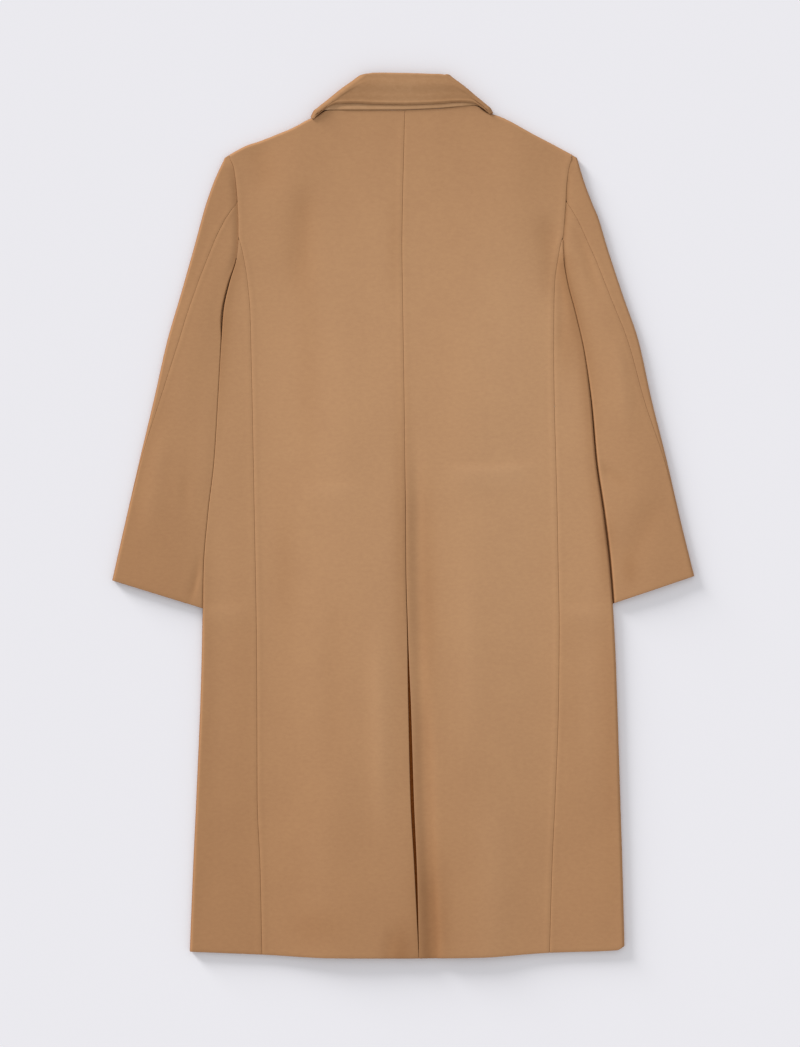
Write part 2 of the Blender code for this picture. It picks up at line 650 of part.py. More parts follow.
def collar_leaf(colour):
    """The turned-down collar, with the rounded roll along its top."""
    roll_radius = (LEAF_OUTSIDE - STAND_INSIDE) / 2
    roll_middle = (LEAF_OUTSIDE + STAND_INSIDE) / 2
    profile = [(share, 0.0, LEAF_OUTSIDE) for share in reversed(LEAF_SHARES)]
    profile += [(0.0, roll_radius * math.cos(math.radians(turn)),
                 roll_middle + roll_radius * math.sin(math.radians(turn))) for turn in ROLL_TURNS]
    profile += [(0.0, 0.0, STAND_INSIDE)]
    profile += [(share, 0.0, LEAF_INSIDE) for share in LEAF_SHARES]
    loops = []
    for sign, station in collar_stations():
        edge = Vector((station.edge_out, station.edge_depth))
        loop = []
        for share, beyond, radius in profile:
            point = collar_point(sign, station, edge, share, beyond, radius)
            point.y -= station.droop * smooth(share, LEAF_SHARES[-2], 1.0) * MM
            loop.append(point)
        loops.append(loop)
    return sweep("collar_leaf", loops, colour)


def collar_stand(colour):
    """The stand inside the leaf; its lower edge shows as a band above the neck seam."""
    profile = [(share, -STAND_TOP, STAND_OUTSIDE) for share in (1.0, 0.5, 0.0)]
    profile += [(share, -STAND_TOP, STAND_INSIDE) for share in (0.0, 0.5, 1.0)]
    loops = []
    for sign, station in collar_stations():
        neck = Vector((station.neck_out, station.neck_depth))
        loops.append([collar_point(sign, station, neck, share, beyond * (1 - share), radius)
                      for share, beyond, radius in profile])
    return sweep("collar_stand", loops, colour)


# ---------------------------------------------------------------- the coat

CAMEL = (0.45, 0.245, 0.125)
CAMEL_COLLAR = (0.40, 0.21, 0.105)
CAMEL_SHADE = (0.36, 0.185, 0.09)


def build_coat():
    for side in SIDES:
        back(side, CAMEL)
        side_body(side, CAMEL)
        front(side, CAMEL_SHADE)
        top_sleeve(side, CAMEL)
        under_sleeve(side, CAMEL)
    vent_underlap(CAMEL_SHADE)
    collar_leaf(CAMEL_COLLAR)
    collar_stand(CAMEL_COLLAR)


for old in list(bpy.data.objects):
    bpy.data.objects.remove(old)
build_coat()
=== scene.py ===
# %% [markdown]
# # A long wool coat, laid flat with its back up
#
# The real coat is cut from one heavy camel coating: two centre backs, two side bodies, two fronts,
# two-piece sleeves and a turned-down collar on a stand. It lies on its fronts, so the picture shows
# its back. Each piece of cloth is made here as a thin closed shell, as finely as its creases need,
# on the form that the plain solids of the frame have. The solids themselves are hidden behind them.

# %% The frame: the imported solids, in metres, +Z up
import math
from collections import namedtuple

import bmesh
import bpy
import numpy as np
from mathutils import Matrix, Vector


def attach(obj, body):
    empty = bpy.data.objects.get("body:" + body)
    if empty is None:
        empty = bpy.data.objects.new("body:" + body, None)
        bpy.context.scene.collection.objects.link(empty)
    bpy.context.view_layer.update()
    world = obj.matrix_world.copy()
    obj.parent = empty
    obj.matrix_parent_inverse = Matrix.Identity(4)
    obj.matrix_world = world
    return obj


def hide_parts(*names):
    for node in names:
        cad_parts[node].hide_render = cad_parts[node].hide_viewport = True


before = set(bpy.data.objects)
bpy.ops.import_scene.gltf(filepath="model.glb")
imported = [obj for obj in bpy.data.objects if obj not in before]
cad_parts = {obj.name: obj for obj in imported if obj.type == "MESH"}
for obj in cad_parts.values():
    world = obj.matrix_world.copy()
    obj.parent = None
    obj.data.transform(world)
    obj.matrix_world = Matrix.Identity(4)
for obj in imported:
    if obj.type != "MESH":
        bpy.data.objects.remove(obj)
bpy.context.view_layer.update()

print("solids:", sorted(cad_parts))

# %% [markdown]
# ## Sizes
#
# A coat is easiest to describe the way its cutter measures it: in millimetres out from the nape and
# down from the nape. One function turns such a measure into a point of the frame, so every table
# below can stay in whole, readable sizes.

# %% Cloth and layers
MM = 0.001
NAPE_X, NAPE_Y = 2.5, 566.8     # the nape's place in the frame
CLOTH = 2.6                     # heavy coating with what backs it
SEAM = 0.3                      # between two layers, and at the seams underneath
SEWN = 0.1                      # between two edges that show: the thread draws them together
LAYER = CLOTH + SEAM
HALF = 3.9                      # half the flattened coat's height at a fold
FULL = 2 * HALF
SIDES = {"left": -1, "right": 1}
ROW_STEP = 5.0                  # spacing of the rows down the cloth
HIDDEN_STEP = 9.0               # and on the fronts, which lie underneath


def place(points):
    """Turn (x, depth, height) in millimetres into points of the frame, in metres."""
    points = np.asarray(points, float)
    return np.stack([(points[..., 0] + NAPE_X) * MM, (NAPE_Y - points[..., 1]) * MM,
                     points[..., 2] * MM], axis=-1)


def table(columns, rows):
    """Rows whose values are read by their column's name."""
    row_type = namedtuple("Row", columns)
    return [row_type(*row) for row in rows]


# %% [markdown]
# ## Tables
#
# One table holds the body: at each depth, how far out the edges and the side-back seams lie, where
# the centre-back seam runs and how wide the vent's slit stands open. Above the underarm the edge is
# the armhole. The others hold the top edge, the hem, the hidden fronts and the two sleeves.

# %% Body tables
BODY = table("depth left_edge left_seam centre slit right_seam right_edge", (
    (-10, 246, 246, 0, 0.1, 234, 234),
    (62, 246, 246, -1.7, 0.1, 234, 234),
    (80, 239.5, 239.5, -2.2, 0.1, 229.5, 229.5),
    (104, 236, 236, -2.8, 0.1, 226, 226),
    (130, 234, 234, -3.3, 0.1, 224.6, 224.6),
    (156, 232.8, 232.8, -3.8, 0.1, 222.7, 222.7),
    (178, 232.8, 232.8, -4.1, 0.1, 220.8, 220.8),
    (182, 232.8, 231.3, -4.2, 0.1, 218.9, 220.4),
    (209, 236, 225, -4, 0.1, 213.6, 222),
    (240, 245.5, 220.3, -3.5, 0.1, 209.5, 227.5),
    (280, 254, 216.6, -2.9, 0.1, 208.3, 238),
    (340, 258, 215, -2, 0.1, 208, 251.5),
    (410, 262, 213.4, -1, 0.1, 208.9, 260.5),
    (490, 267, 211.8, 0, 0.15, 211, 267),
    (560, 275.2, 210.5, 1, 0.35, 212.8, 277),
    (640, 281.8, 209, 1.4, 0.5, 214.3, 286.5),
    (720, 283.5, 207.6, 3.4, 0.9, 215.7, 292.5),
    (780, 284.8, 207.1, 4.9, 2.4, 215.3, 295.3),
    (830, 286.3, 206.8, 6.4, 3.9, 214.7, 297),
    (960, 291.8, 206.4, 10, 4.9, 210, 301),
    (1060, 296.3, 202.3, 15, 3.7, 205.5, 304),
    (1180, 301, 199.8, 19.6, 0.3, 202, 307),
))
TOP_EDGE = {    # the neck seam, then the shoulder's outline, as (out, depth)
    "left": ((0, 0.3), (60, 0.4), (106, 0.6), (114, 2.5), (124, 8), (134, 12.3), (159, 25.5),
             (181, 34.4), (203, 43), (221, 48.8), (246, 62)),
    "right": ((0, 0.3), (50, -2), (98, -6), (106, -2), (114, 2.5), (120, 4.8), (133, 9),
              (181, 34.2), (207, 47.5), (234, 62)),
}
SHOULDER_START = {"left": 112, "right": 105}    # where the neck seam ends
SHOULDER_OUT = (0.43, -0.90)                    # the outline's outward normal, as (out, depth)
HEM = ((-301, 1176), (-200, 1180), (-100, 1184.7), (0, 1185), (100, 1184), (200, 1177.5),
       (296, 1174), (307, 1168))
HEM_LEVEL, HEM_START = 1180.0, 900.0
COLLAR_END_OUT, COLLAR_END_DEPTHS = (145, 225), (115, 190)     # what the collar's ends lift
OVERLAP_OUT, OVERLAP_DEPTHS = (75, 215), (60, 240)             # and what the overlap lifts
UNDERARM, SIDE_TOP = 209.0, 182.0
FOLD_ROUND = {  # how round the side fold and the sleeve's inner fold are, as (depth, share)
    "left": ((209, 0.12), (243, 0.4), (300, 0.4), (330, 0.2), (640, 0.2), (730, 1)),
    "right": ((209, 0.12), (243, 0.4), (330, 0.5), (400, 0.8), (690, 0.8), (730, 1)),
}
FOLDS_MEET = {  # where the two folds touch just below their tops, as (depth, share)
    "left": ((209, 0.5), (236, 0.2), (250, 0), (302, 0), (345, 0.8), (400, 1), (700, 1)),
    "right": ((209, 1), (280, 0.95), (340, 0.7), (400, 0.2), (440, 0)),
}

# %% Tables of the hidden fronts
FRONT_EDGE = {  # the V neck, then the overlapped edge, as (depth, out)
    "left": ((-5, 114), (75, 74), (205, 0), (330, -70), (1200, -70)),
    "right": ((-5, 107), (75, 70), (205, 0), (330, -70), (1200, -70)),
}
FRONT_NECK_OUT = {"left": 117.0, "right": 110.0}
FRONT_SEAM = {
    "left": ((182, 231), (209, 219), (1200, 248)),
    "right": ((182, 218.5), (209, 206), (1200, 252)),
}
OVERLAP_RAMP = (95.0, 48.0)     # the inner front climbs over the outer one between these

# %% Sleeve tables, by the depth of each row's inner end
SLEEVE_COLUMNS = "inner_depth outer_out outer_depth seam_share"
SLEEVES = {
    "left": table(SLEEVE_COLUMNS, (
        (62, 252, 66, 0),
        (95, 267, 99, 0),
        (126, 279.3, 134, 0),
        (140, 283.6, 149, 0.22),
        (152, 286.5, 160, 0.37),
        (182, 293, 184, 0.56),
        (209, 300.5, 211, 0.64),
        (262, 315, 262, 0.71),
        (328, 332, 320, 0.785),
        (418, 350.7, 402.5, 0.905),
        (510, 371, 488, 0.98),
        (605, 391, 575, 1),
        (696, 409.5, 657, 1),
    )),
    "right": table(SLEEVE_COLUMNS, (
        (62, 240.5, 66, 0),
        (95, 250, 98, 0),
        (124, 262.8, 132, 0),
        (138, 268.6, 145.5, 0.2),
        (152, 273, 158, 0.37),
        (182, 280.5, 184, 0.57),
        (213, 290, 214, 0.68),
        (262, 306, 262, 0.744),
        (330, 326, 320, 0.805),
        (415, 344.4, 402.5, 0.875),
        (508, 366, 489, 0.965),
        (601, 386, 576, 1),
        (689, 404.5, 651, 1),
    )),
}
CUFF_DEPTH = {"left": 696.0, "right": 689.0}
SLEEVE_GAP = {  # between the body's fold and the sleeve's, as (depth, gap)
    "left": ((206, 0.05), (215, 0.8), (240, 1), (270, 1.5), (290, 2.1), (304, 1.1), (316, 0.4),
             (345, 0.25), (400, 0.05), (700, 0.05)),
    "right": ((206, 0.05), (245, 0.4), (320, 0.15), (360, 0.3), (420, 0.75), (600, 1.9),
              (700, 1.6)),
}
SLEEVE_CROWN, CROWN_DEPTHS = 1.1, (169, 300)
SLEEVE_HEAD_HEIGHT, HEAD_DEPTHS = 5.6, (60, 78)
SHOULDER_DEPTH = 62.0           # where the shoulder's outline ends, at the sleeve
UNDER_SLEEVE_TOP, ARM_SEAM_TOP = 127.0, 165.0
ARM_SEAM = ((165, 2), (209, 12), (260, 26), (700, 30))

# %% [markdown]
# ## Curves
#
# The tables are short, so the lines between their rows have to be drawn softly, as cloth and chalk
# lines are. A monotone cubic does that: it passes through every row and never swings past it.

# %% Curves through the tables
def smooth(value, start, end):
    """0 before start, 1 after end, and an even rise between them."""
    share = np.clip((np.asarray(value, float) - start) / (end - start), 0.0, 1.0)
    return share * share * (3 - 2 * share)


def mix(first, last, share):
    return first + (last - first) * share


def bell(distance, width):
    return np.exp(-(distance / width) ** 2)


def straight_curve(points):
    places, values = zip(*points)
    return lambda place_: np.interp(place_, places, values)


def soft_curve(points):
    """A function through (place, value) points that bends softly and never overshoots them."""
    places = np.array([p for p, _ in points], float)
    values = np.array([v for _, v in points], float)
    steps = np.diff(places)
    slopes = np.diff(values) / steps
    tangents = np.concatenate([slopes[:1], np.zeros(len(slopes) - 1), slopes[-1:]])
    for i, (before, after) in enumerate(zip(slopes, slopes[1:]), 1):
        if before * after > 0:
            tangents[i] = 2 * before * after / (before + after)

    def value(place_):
        at = np.clip(place_, places[0], places[-1])
        i = np.clip(np.searchsorted(places, at, side="right") - 1, 0, len(steps) - 1)
        t = (at - places[i]) / steps[i]
        return ((1 + 2 * t) * (1 - t) ** 2 * values[i] + t * (1 - t) ** 2 * steps[i] * tangents[i]
                + t * t * (3 - 2 * t) * values[i + 1]
                + t * t * (t - 1) * steps[i] * tangents[i + 1])
    return value


def table_curve(rows, column):
    return soft_curve([(row[0], getattr(row, column)) for row in rows])


CENTRE = table_curve(BODY, "centre")
SLIT = table_curve(BODY, "slit")
EDGE = {side: table_curve(BODY, side + "_edge") for side in SIDES}
SIDE_SEAM = {side: table_curve(BODY, side + "_seam") for side in SIDES}
TOP, GAP, MEET, ROUND = ({side: soft_curve(lines[side]) for side in SIDES}
                         for lines in (TOP_EDGE, SLEEVE_GAP, FOLDS_MEET, FOLD_ROUND))
FRONT, UNDER = ({side: straight_curve(lines[side]) for side in SIDES}
                for lines in (FRONT_EDGE, FRONT_SEAM))
HEM_LINE = soft_curve(HEM)
ARM_FRONT = soft_curve(ARM_SEAM)
print("hem at the centre:", round(float(HEM_LINE(0)), 1), "mm below the nape")

# %% [markdown]
# ## Heights
#
# A coat laid flat isn't a board. The back lies higher over the fronts' overlap and the collar's
# ends, and beside the centre-back seam a soft pleat runs down into the vent: the left back dips to
# the seam, and the right back has a trough a finger's breadth away.

# %% How high each layer lies
PLEAT_DEPTHS, PLEAT_LIFT, PLEAT_LIFT_DEPTHS = (420.0, 600.0), 1.5, (250, 450)
LEFT_DIP, LEFT_DIP_WIDTH = 1.2, 14.0
LOW_DIP, LOW_DIP_DEPTHS = 0.5, (760, 900)   # less of it beside the open vent
RIGHT_TROUGH, TROUGH_PLACE, TROUGH_WIDTH = 1.3, 15.0, 9.0


def neck_share(out):
    return 1 - smooth(out, *COLLAR_END_OUT)


def back_lift(out, depth):
    body = 1 - smooth(out, *OVERLAP_OUT)
    low = smooth(depth, *OVERLAP_DEPTHS)
    return (LAYER * mix(neck_share(out), body, low)
            + PLEAT_LIFT * body * smooth(depth, *PLEAT_LIFT_DEPTHS))


def pleat(side, distance, depth):
    fade = smooth(depth, *PLEAT_DEPTHS)
    if side == "left":
        fade = fade * mix(1.0, LOW_DIP, smooth(depth, *LOW_DIP_DEPTHS))
        return -LEFT_DIP * fade * np.exp(-distance / LEFT_DIP_WIDTH)
    return -RIGHT_TROUGH * fade * bell(distance - TROUGH_PLACE, TROUGH_WIDTH)


def back_top(side, x, depth):
    return FULL + back_lift(abs(x), depth) + pleat(side, abs(x - CENTRE(depth)), depth)


def front_bottom(side, x, depth):
    lift = LAYER * neck_share(abs(x)) * (1 - smooth(depth, *COLLAR_END_DEPTHS))
    if side == "left":
        edge = FRONT["right"](depth)
        start, end = OVERLAP_RAMP
        lift = lift + LAYER * smooth(x, edge - start, edge - end)
    return lift


def fold_roundness(side, depth):
    """0 above the underarm, where there is no fold, and 1 where the side fold is fully round."""
    return (depth >= UNDERARM) * ROUND[side](depth)


def hem_depth(x, depth):
    """A level row's depth, bent to the hem's line as it nears the hem."""
    return depth + (HEM_LINE(x) - HEM_LEVEL) * smooth(depth, HEM_START, HEM_LEVEL)


# %% [markdown]
# ## Creases
#
# Heavy wool creases softly: broad low troughs and ridges, no sharp lines. Each is drawn as a bent
# line with a width and a height, and both backs, sides and sleeves read the same table, so a crease
# that crosses a seam carries on over it. Cloth simulation was the other way; it moves the outline
# too, and here the outline is already right.

# %% Creases, as bent lines over the back. A trough has a negative height. Seen along the line from
# its first point, "right" and "left" are how wide it is on either side.
CREASES = table("x0 depth0 x1 depth1 x2 depth2 right left height", (
    (45, 503, 120, 506, 202, 496, 26, 6, 0.75),         # across the right back
    (-155, 531, -100, 527, -44, 533, 24, 8, 0.4),       # its fainter twin on the left
    (-290, 701, -250, 703, -208, 700, 22, 9, 0.6),      # where the cuffs have pressed the sides
    (210, 700, 255, 703, 300, 699, 22, 9, 0.5),
    (-132, 85, -152, 180, -144, 285, 22, 18, -1.3),     # over the left shoulder blade
    (-214, 42, -197, 75, -192, 125, 16, 20, -0.8),      # at the left shoulder's end
    (196, 135, 204, 196, 212, 300, 18, 16, -1.5),       # at the bottom of the right armhole
    (-38, 680, -35, 870, -31, 1060, 15, 17, 1),         # the ridge left of the vent
    (22, 460, 28, 640, 27, 830, 14, 18, -1.3),          # the trough right of the centre seam
    (27, 760, 33, 950, 43, 1190, 16, 8, -1.4),          # which runs on as a fold to the hem
    (38, 1060, 43, 1120, 45, 1190, 16, 5, -0.8),        # deepest at the hem
    (-18, 1140, -22, 1165, -24, 1190, 9, 9, -0.6),      # and its small twin left of the vent
    (-116, 960, -124, 1080, -112, 1190, 24, 20, 0.4),   # soft flare at the hem, left
    (120, 930, 128, 1060, 122, 1190, 28, 24, 0.8),      # and right
    (-256, 560, -252, 800, -266, 1120, 20, 24, -0.4),   # down the left side body
    (262, 640, 264, 860, 272, 1140, 22, 18, -0.2),      # down the right side body
    (-92, 640, -104, 800, -96, 960, 16, 20, -0.5),      # shallow ones beside the vent
    (88, 600, 96, 780, 92, 930, 20, 16, 0.5),
    (-282, 300, -296, 450, -312, 640, 16, 12, -0.35),   # down the left sleeve
    (-330, 420, -352, 520, -362, 620, 14, 14, 0.8),
    (-279, 612, -288, 650, -305, 704, 7, 3, -0.9),      # from the body's edge to the left cuff
    (222, 212, 219, 290, 218, 360, 9, 9, -0.7),         # beside the right side-back seam
    (-306, 505, -309, 530, -304, 566, 6, 6, -0.35),
    (238, 150, 256, 214, 276, 280, 9, 7, -0.7),         # from the right armhole down the sleeve
    (292, 300, 306, 380, 312, 470, 12, 12, 0.7),
    (262, 490, 290, 506, 322, 536, 8, 6, -0.8),         # the right sleeve's elbow crease
    (358, 530, 336, 590, 296, 648, 20, 16, -0.8),       # and one above its cuff
))
CREASE_POINTS = 20
CREASE_RISE, CREASE_FALL = (0, 0.35), (0.6, 1.0)    # shares of its length where it rises and ends
CREASE_REACH = 3.0      # times its width, beyond which it no longer counts
RELIEF = 0.8            # the share of the heights above that the low light asks for
SLOW_WAVE, QUICK_WAVE = 0.22, 0.12      # heights of the unevenness, and its lengths
SLOW_PITCHES, QUICK_PITCHES = (31, 83, 67, 140), (13.7, 29, 41)


def crease_lift(x, depth):
    """How much all creases raise the cloth at these places, in millimetres."""
    lift = np.zeros_like(x)
    t = np.linspace(0, 1, CREASE_POINTS)
    for crease in CREASES:
        path = np.stack([(1 - t) ** 2 * a + 2 * t * (1 - t) * b + t * t * c for a, b, c in (
            (crease.x0, crease.x1, crease.x2), (crease.depth0, crease.depth1, crease.depth2))], -1)
        reach = CREASE_REACH * max(crease.right, crease.left)
        low, high = path.min(0) - reach, path.max(0) + reach
        near = (x > low[0]) & (x < high[0]) & (depth > low[1]) & (depth < high[1])
        if not near.any():
            continue
        spots = np.stack([x[near], depth[near]], -1)
        best = np.full(len(spots), np.inf)
        share, width = np.zeros(len(spots)), np.ones(len(spots))
        for i, (start, end) in enumerate(zip(path, path[1:])):
            along, away = end - start, spots - start
            s = np.clip((away @ along) / (along @ along), 0, 1)
            distance = np.linalg.norm(away - s[:, None] * along, axis=1)
            is_right = along[0] * away[:, 1] - along[1] * away[:, 0] > 0
            closer = distance < best
            best[closer] = distance[closer]
            share[closer] = (i + s[closer]) / (CREASE_POINTS - 1)
            width[closer] = np.where(is_right, crease.right, crease.left)[closer]
        fade_out = (1 - smooth(share, *CREASE_FALL)) if crease.depth2 < HEM_LEVEL else 1.0
        lift[near] += crease.height * smooth(share, *CREASE_RISE) * fade_out * bell(best, width)
    return RELIEF * lift


def unevenness(x, depth):
    """The low waves that no pressed cloth is without. Their lengths are never in step."""
    out, bend, down, slant = SLOW_PITCHES
    slow = np.sin(x / out + np.sin(depth / bend) * 1.7) * np.sin(depth / down + x / slant)
    out, slant, down = QUICK_PITCHES
    quick = np.sin(x / out - depth / slant) * np.sin(depth / down + 1.3)
    return RELIEF * (SLOW_WAVE * slow + QUICK_WAVE * quick)


# %% [markdown]
# The cloth's colour carries painted light and shade. The back is painted a little lighter in its
# middle than at its shoulders, sides and hem, the sleeves and sides are painted a shade darker, and
# a trough is painted darker than a ridge, as painted shade. Each point carries that shading.

# %% Painted light and shade on the cloth, 1 at the middle of the back
# A painted pool of light: the cloth is painted darker away from the middle of the back.
PAINTED_LIGHT_DEPTH = 384.0                         # the middle of the painted pool of light, down from the nape
REACH_OUT, REACH_UP, REACH_DOWN = 420.0, 540.0, 800.0
PAINTED_FALLOFF, FALLOFF_START, FALLOFF_END = 0.16, 0.2, 1.15
TROUGH_PAINTED_SHADE = 0.065                         # painted shade for each millimetre of a trough, painted light on a ridge
RIGHT_PAINTED_LIGHT, RIGHT_OUT = 0.065, (40, 160)    # the right half is painted lighter, from here to there
RIGHT_LEAST, RIGHT_DEPTHS = 0.35, (60, 260)     # but less so over the shoulder
VENT_PAINTED_SHADE, VENT_X, VENT_REACH, VENT_DEPTHS = 0.12, 34, 22, (980, 1100)  # painted shade in the fold at the vent's end
GAP_REACH = 13
GAP_PAINTED_SHADE = {    # painted shade beside the gap between body and sleeve, as (depth, loss)
    "side_left": ((195, 0), (215, 0.08), (280, 0.09), (292, 0.13), (340, 0.1), (420, 0.04),
                  (500, 0)),
    "side_right": ((195, 0), (215, 0.2), (360, 0.18), (500, 0.11), (640, 0.11), (700, 0)),
    "sleeve_under_right": ((195, 0), (215, 0.1), (340, 0.12), (420, 0.06), (500, 0)),
}
CUFF_PAINTED_SHADE, CUFF_LEVEL = 0.02, (690, 715)    # and the sides are painted darker below the cuffs, as painted shade
# Painted shade on the sleeve beside its armhole seam.
ARM_PAINTED_SHADE, ARM_REACH, ARM_DEPTHS_SHADED = 0.12, 4.0, ((66, 130), (250, 330))
PAINTED_PATCHES = table("x depth reach_out reach_down loss", (      # painted shade, or painted light where the loss is negative
    (284, 594, 10, 24, 0.08),           # at the right cuff's inner side
    (314, 642, 12, 22, 0.1),
    (288, 890, 10, 190, 0.04),          # along the coat's right edge
    (256, 800, 15, 150, -0.05),         # and lighter beside that
    (-256, 780, 18, 240, -0.05),        # the left side is lighter too
    (-300, 450, 36, 130, -0.06),        # and so is the left sleeve
    (226, 325, 14, 46, 0.1),            # under the right arm
    (-3, 600, 13, 190, 0.11),           # beside the centre seam and the vent
    (30, 740, 17, 170, 0.07),
    (-14, 190, 12, 60, 0.05),
    (52, 1135, 12, 40, 0.05),
    (-6, 1180, 17, 40, 0.17),
    (-120, 1142, 34, 24, 0.07),         # over the hem
    (-168, 640, 18, 100, 0.05),         # inside the left side-back seam
    (-135, 350, 18, 170, 0.04),
))
# Painted shade: the sleeves, sides and fronts are painted a shade darker than the backs.
PANEL_PAINTED_SHADE = {"back": 1.0, "side": 0.995, "sleeve": 0.97, "front": 0.95, "vent": 1.0}


# Each point's painted light and shade, as a factor on the cloth's colour.
def painted_cloth_shading(name, grid):
    x, depth = grid[..., 0], grid[..., 1]
    away = depth - PAINTED_LIGHT_DEPTH
    distance = np.hypot(x / REACH_OUT, away / np.where(away < 0, REACH_UP, REACH_DOWN))
    painted_shading = 1 - PAINTED_FALLOFF * smooth(distance, FALLOFF_START, FALLOFF_END)
    painted_gain = RIGHT_PAINTED_LIGHT * mix(RIGHT_LEAST, 1, smooth(depth, *RIGHT_DEPTHS))
    painted_shading = painted_shading * (1 + painted_gain * smooth(x, *RIGHT_OUT))
    kind, side = name.split("_")[0], name.split("_")[-1]
    if kind != "front":
        painted_shading = painted_shading * (1 + TROUGH_PAINTED_SHADE * crease_lift(x, depth))
        for patch in PAINTED_PATCHES:
            painted_shading = painted_shading * (1 - patch.loss * bell(x - patch.x, patch.reach_out)
                           * bell(depth - patch.depth, patch.reach_down))
    if kind == "back":
        painted_shading = painted_shading * (1 - VENT_PAINTED_SHADE * bell(x - VENT_X, VENT_REACH) * smooth(depth, *VENT_DEPTHS))
    if kind == "side":
        painted_shading = painted_shading * (1 - CUFF_PAINTED_SHADE * smooth(depth, *CUFF_LEVEL))
    if name in GAP_PAINTED_SHADE:
        beside = bell(np.abs(x) - EDGE[side](depth), GAP_REACH)
        painted_shading = painted_shading * (1 - soft_curve(GAP_PAINTED_SHADE[name])(depth) * beside)
    if kind == "sleeve":
        start, end = ARM_DEPTHS_SHADED
        beside = bell(np.abs(x) - EDGE[side](depth), ARM_REACH)
        painted_shading = painted_shading * (1 - ARM_PAINTED_SHADE * beside * smooth(depth, *start) * (1 - smooth(depth, *end)))
    return painted_shading * PANEL_PAINTED_SHADE[kind]


# %% [markdown]
# Each plain seam is pressed. The allowances behind it hold the cloth up in a low ridge, more on one
# side than on the other, the stitching pulls a groove, and it puckers a little, unevenly. At the
# armhole the sleeve sinks towards the seam, because its allowances lie inside the sleeve.

# %% The relief beside a seam
RIDGE_PLACE, RIDGE_WIDTH = 4.5, 3.2
SEAM_DIP, DIP_WIDTH = 0.1, 1.5
PUCKER, PUCKER_WIDTH = 0.1, 5.0
PUCKER_PITCH, PACE_PITCH, GROWTH_PITCH = 3.1, 17, 23    # of the puckers, their pace and height
ARM_DIP, ARM_DIP_WIDTH = {"left": 1.2, "right": 0.5}, 6.0
CENTRE_RIDGES, SIDE_RIDGES, SLEEVE_RIDGES = (0.14, 0.08), (0.16, 0.1), (0.12, 0.08)


def seam_relief(distance, along, ridges):
    """Height beside a seam, from the signed distance to it and the way along it. The two ridges
    are the one where the distance is negative and the one where it is positive."""
    away = np.abs(distance)
    height = np.where(distance < 0, *ridges)
    pace = 2 * np.sin(along / PACE_PITCH)
    wave = np.sin(along / PUCKER_PITCH + pace) * np.sin(along / GROWTH_PITCH + 0.7)
    return (height * bell(away - RIDGE_PLACE, RIDGE_WIDTH) - SEAM_DIP * bell(away, DIP_WIDTH)
            + PUCKER * wave * bell(away, PUCKER_WIDTH))


# %% [markdown]
# ## Making a wall of cloth
#
# Every piece is two grids of points, the face that shows and the one behind it, closed round the
# edge. A cell that the cut leaves out, as at an underarm, is simply missing, and the wall closes
# round it too. A small Bevel then turns every cut edge over, as pressed wool turns at a seam.

# %% The wall builder
EDGE_ROUND = 0.5        # radius of a turned edge
COLLAR_ROUND = 0.9      # and of the collar's
SHARP = math.radians(50)    # an edge sharper than this is turned over
ROOM_SHARE = 0.4        # and takes no more than this share of the cells beside it
LEAST_FIT = 0.05        # where there is less room than this share of it, it stays sharp
LOW_EDGE, LOW_ROUND = 6.5, 0.3      # edges below this height are turned less, as they hide
FOLD_PAINTED_SHADE = 0.45       # painted shade where the cloth turns down
PAINTED_SHADE_LEAN = 0.8          # more painted shade on folds facing left, towards the key light, less on those facing right
BEVEL_STEPS = 3
Piece = namedtuple("Piece", "thing width length area")
PIECES = {}


def add_object(name, data):
    thing = bpy.data.objects.new(name, data)
    bpy.context.scene.collection.objects.link(thing)
    return thing


def applied(thing):
    """The object's mesh with its modifier applied. The object itself goes."""
    graph = bpy.context.evaluated_depsgraph_get()
    mesh = bpy.data.meshes.new_from_object(thing.evaluated_get(graph))
    bpy.data.objects.remove(thing)
    return mesh


def new_mesh(name, points, edges, faces):
    """A mesh of (x, depth, height) points."""
    mesh = bpy.data.meshes.new(name)
    mesh.from_pydata(place(points).reshape(-1, 3).tolist(), edges, faces)
    return mesh


def wall_of_rows(name, rows, missing=()):
    """A closed wall from rows that each hold the outer and the inner points."""
    closed_wall(name, *[np.stack(grid) for grid in zip(*rows)], missing)


def closed_wall(name, outer, inner, missing=(), edge_round=EDGE_ROUND):
    """Keep a closed shell between two grids of (x, depth, height) points as a piece."""
    painted_shading = painted_cloth_shading(name, outer)
    rows, columns = outer.shape[:2]
    kept = np.ones((rows - 1, columns - 1), bool)
    for cell in missing:
        kept[cell] = False
    number = np.arange(rows * columns).reshape(rows, columns)
    behind = rows * columns
    r, c = np.nonzero(kept)
    ring = np.stack([number[r, c], number[r, c + 1], number[r + 1, c + 1], number[r + 1, c]], 1)
    faces = [ring, ring[:, ::-1] + behind]
    padded = np.pad(kept, 1)
    for k, (dr, dc) in enumerate(((-1, 0), (0, 1), (1, 0), (0, -1))):
        bare = ~padded[r + 1 + dr, c + 1 + dc]
        a, b = ring[bare, k], ring[bare, (k + 1) % 4]
        faces.append(np.stack([b, a, a + behind, b + behind], 1))
    faces = np.concatenate(faces)
    used, faces = np.unique(faces, return_inverse=True)
    points = np.concatenate([outer.reshape(-1, 3), inner.reshape(-1, 3)])[used]
    mesh = new_mesh(name, points, [], faces.reshape(-1, 4).tolist())
    keep(name, outer, rounded(name, mesh, np.concatenate([painted_shading.ravel()] * 2)[used], edge_round))


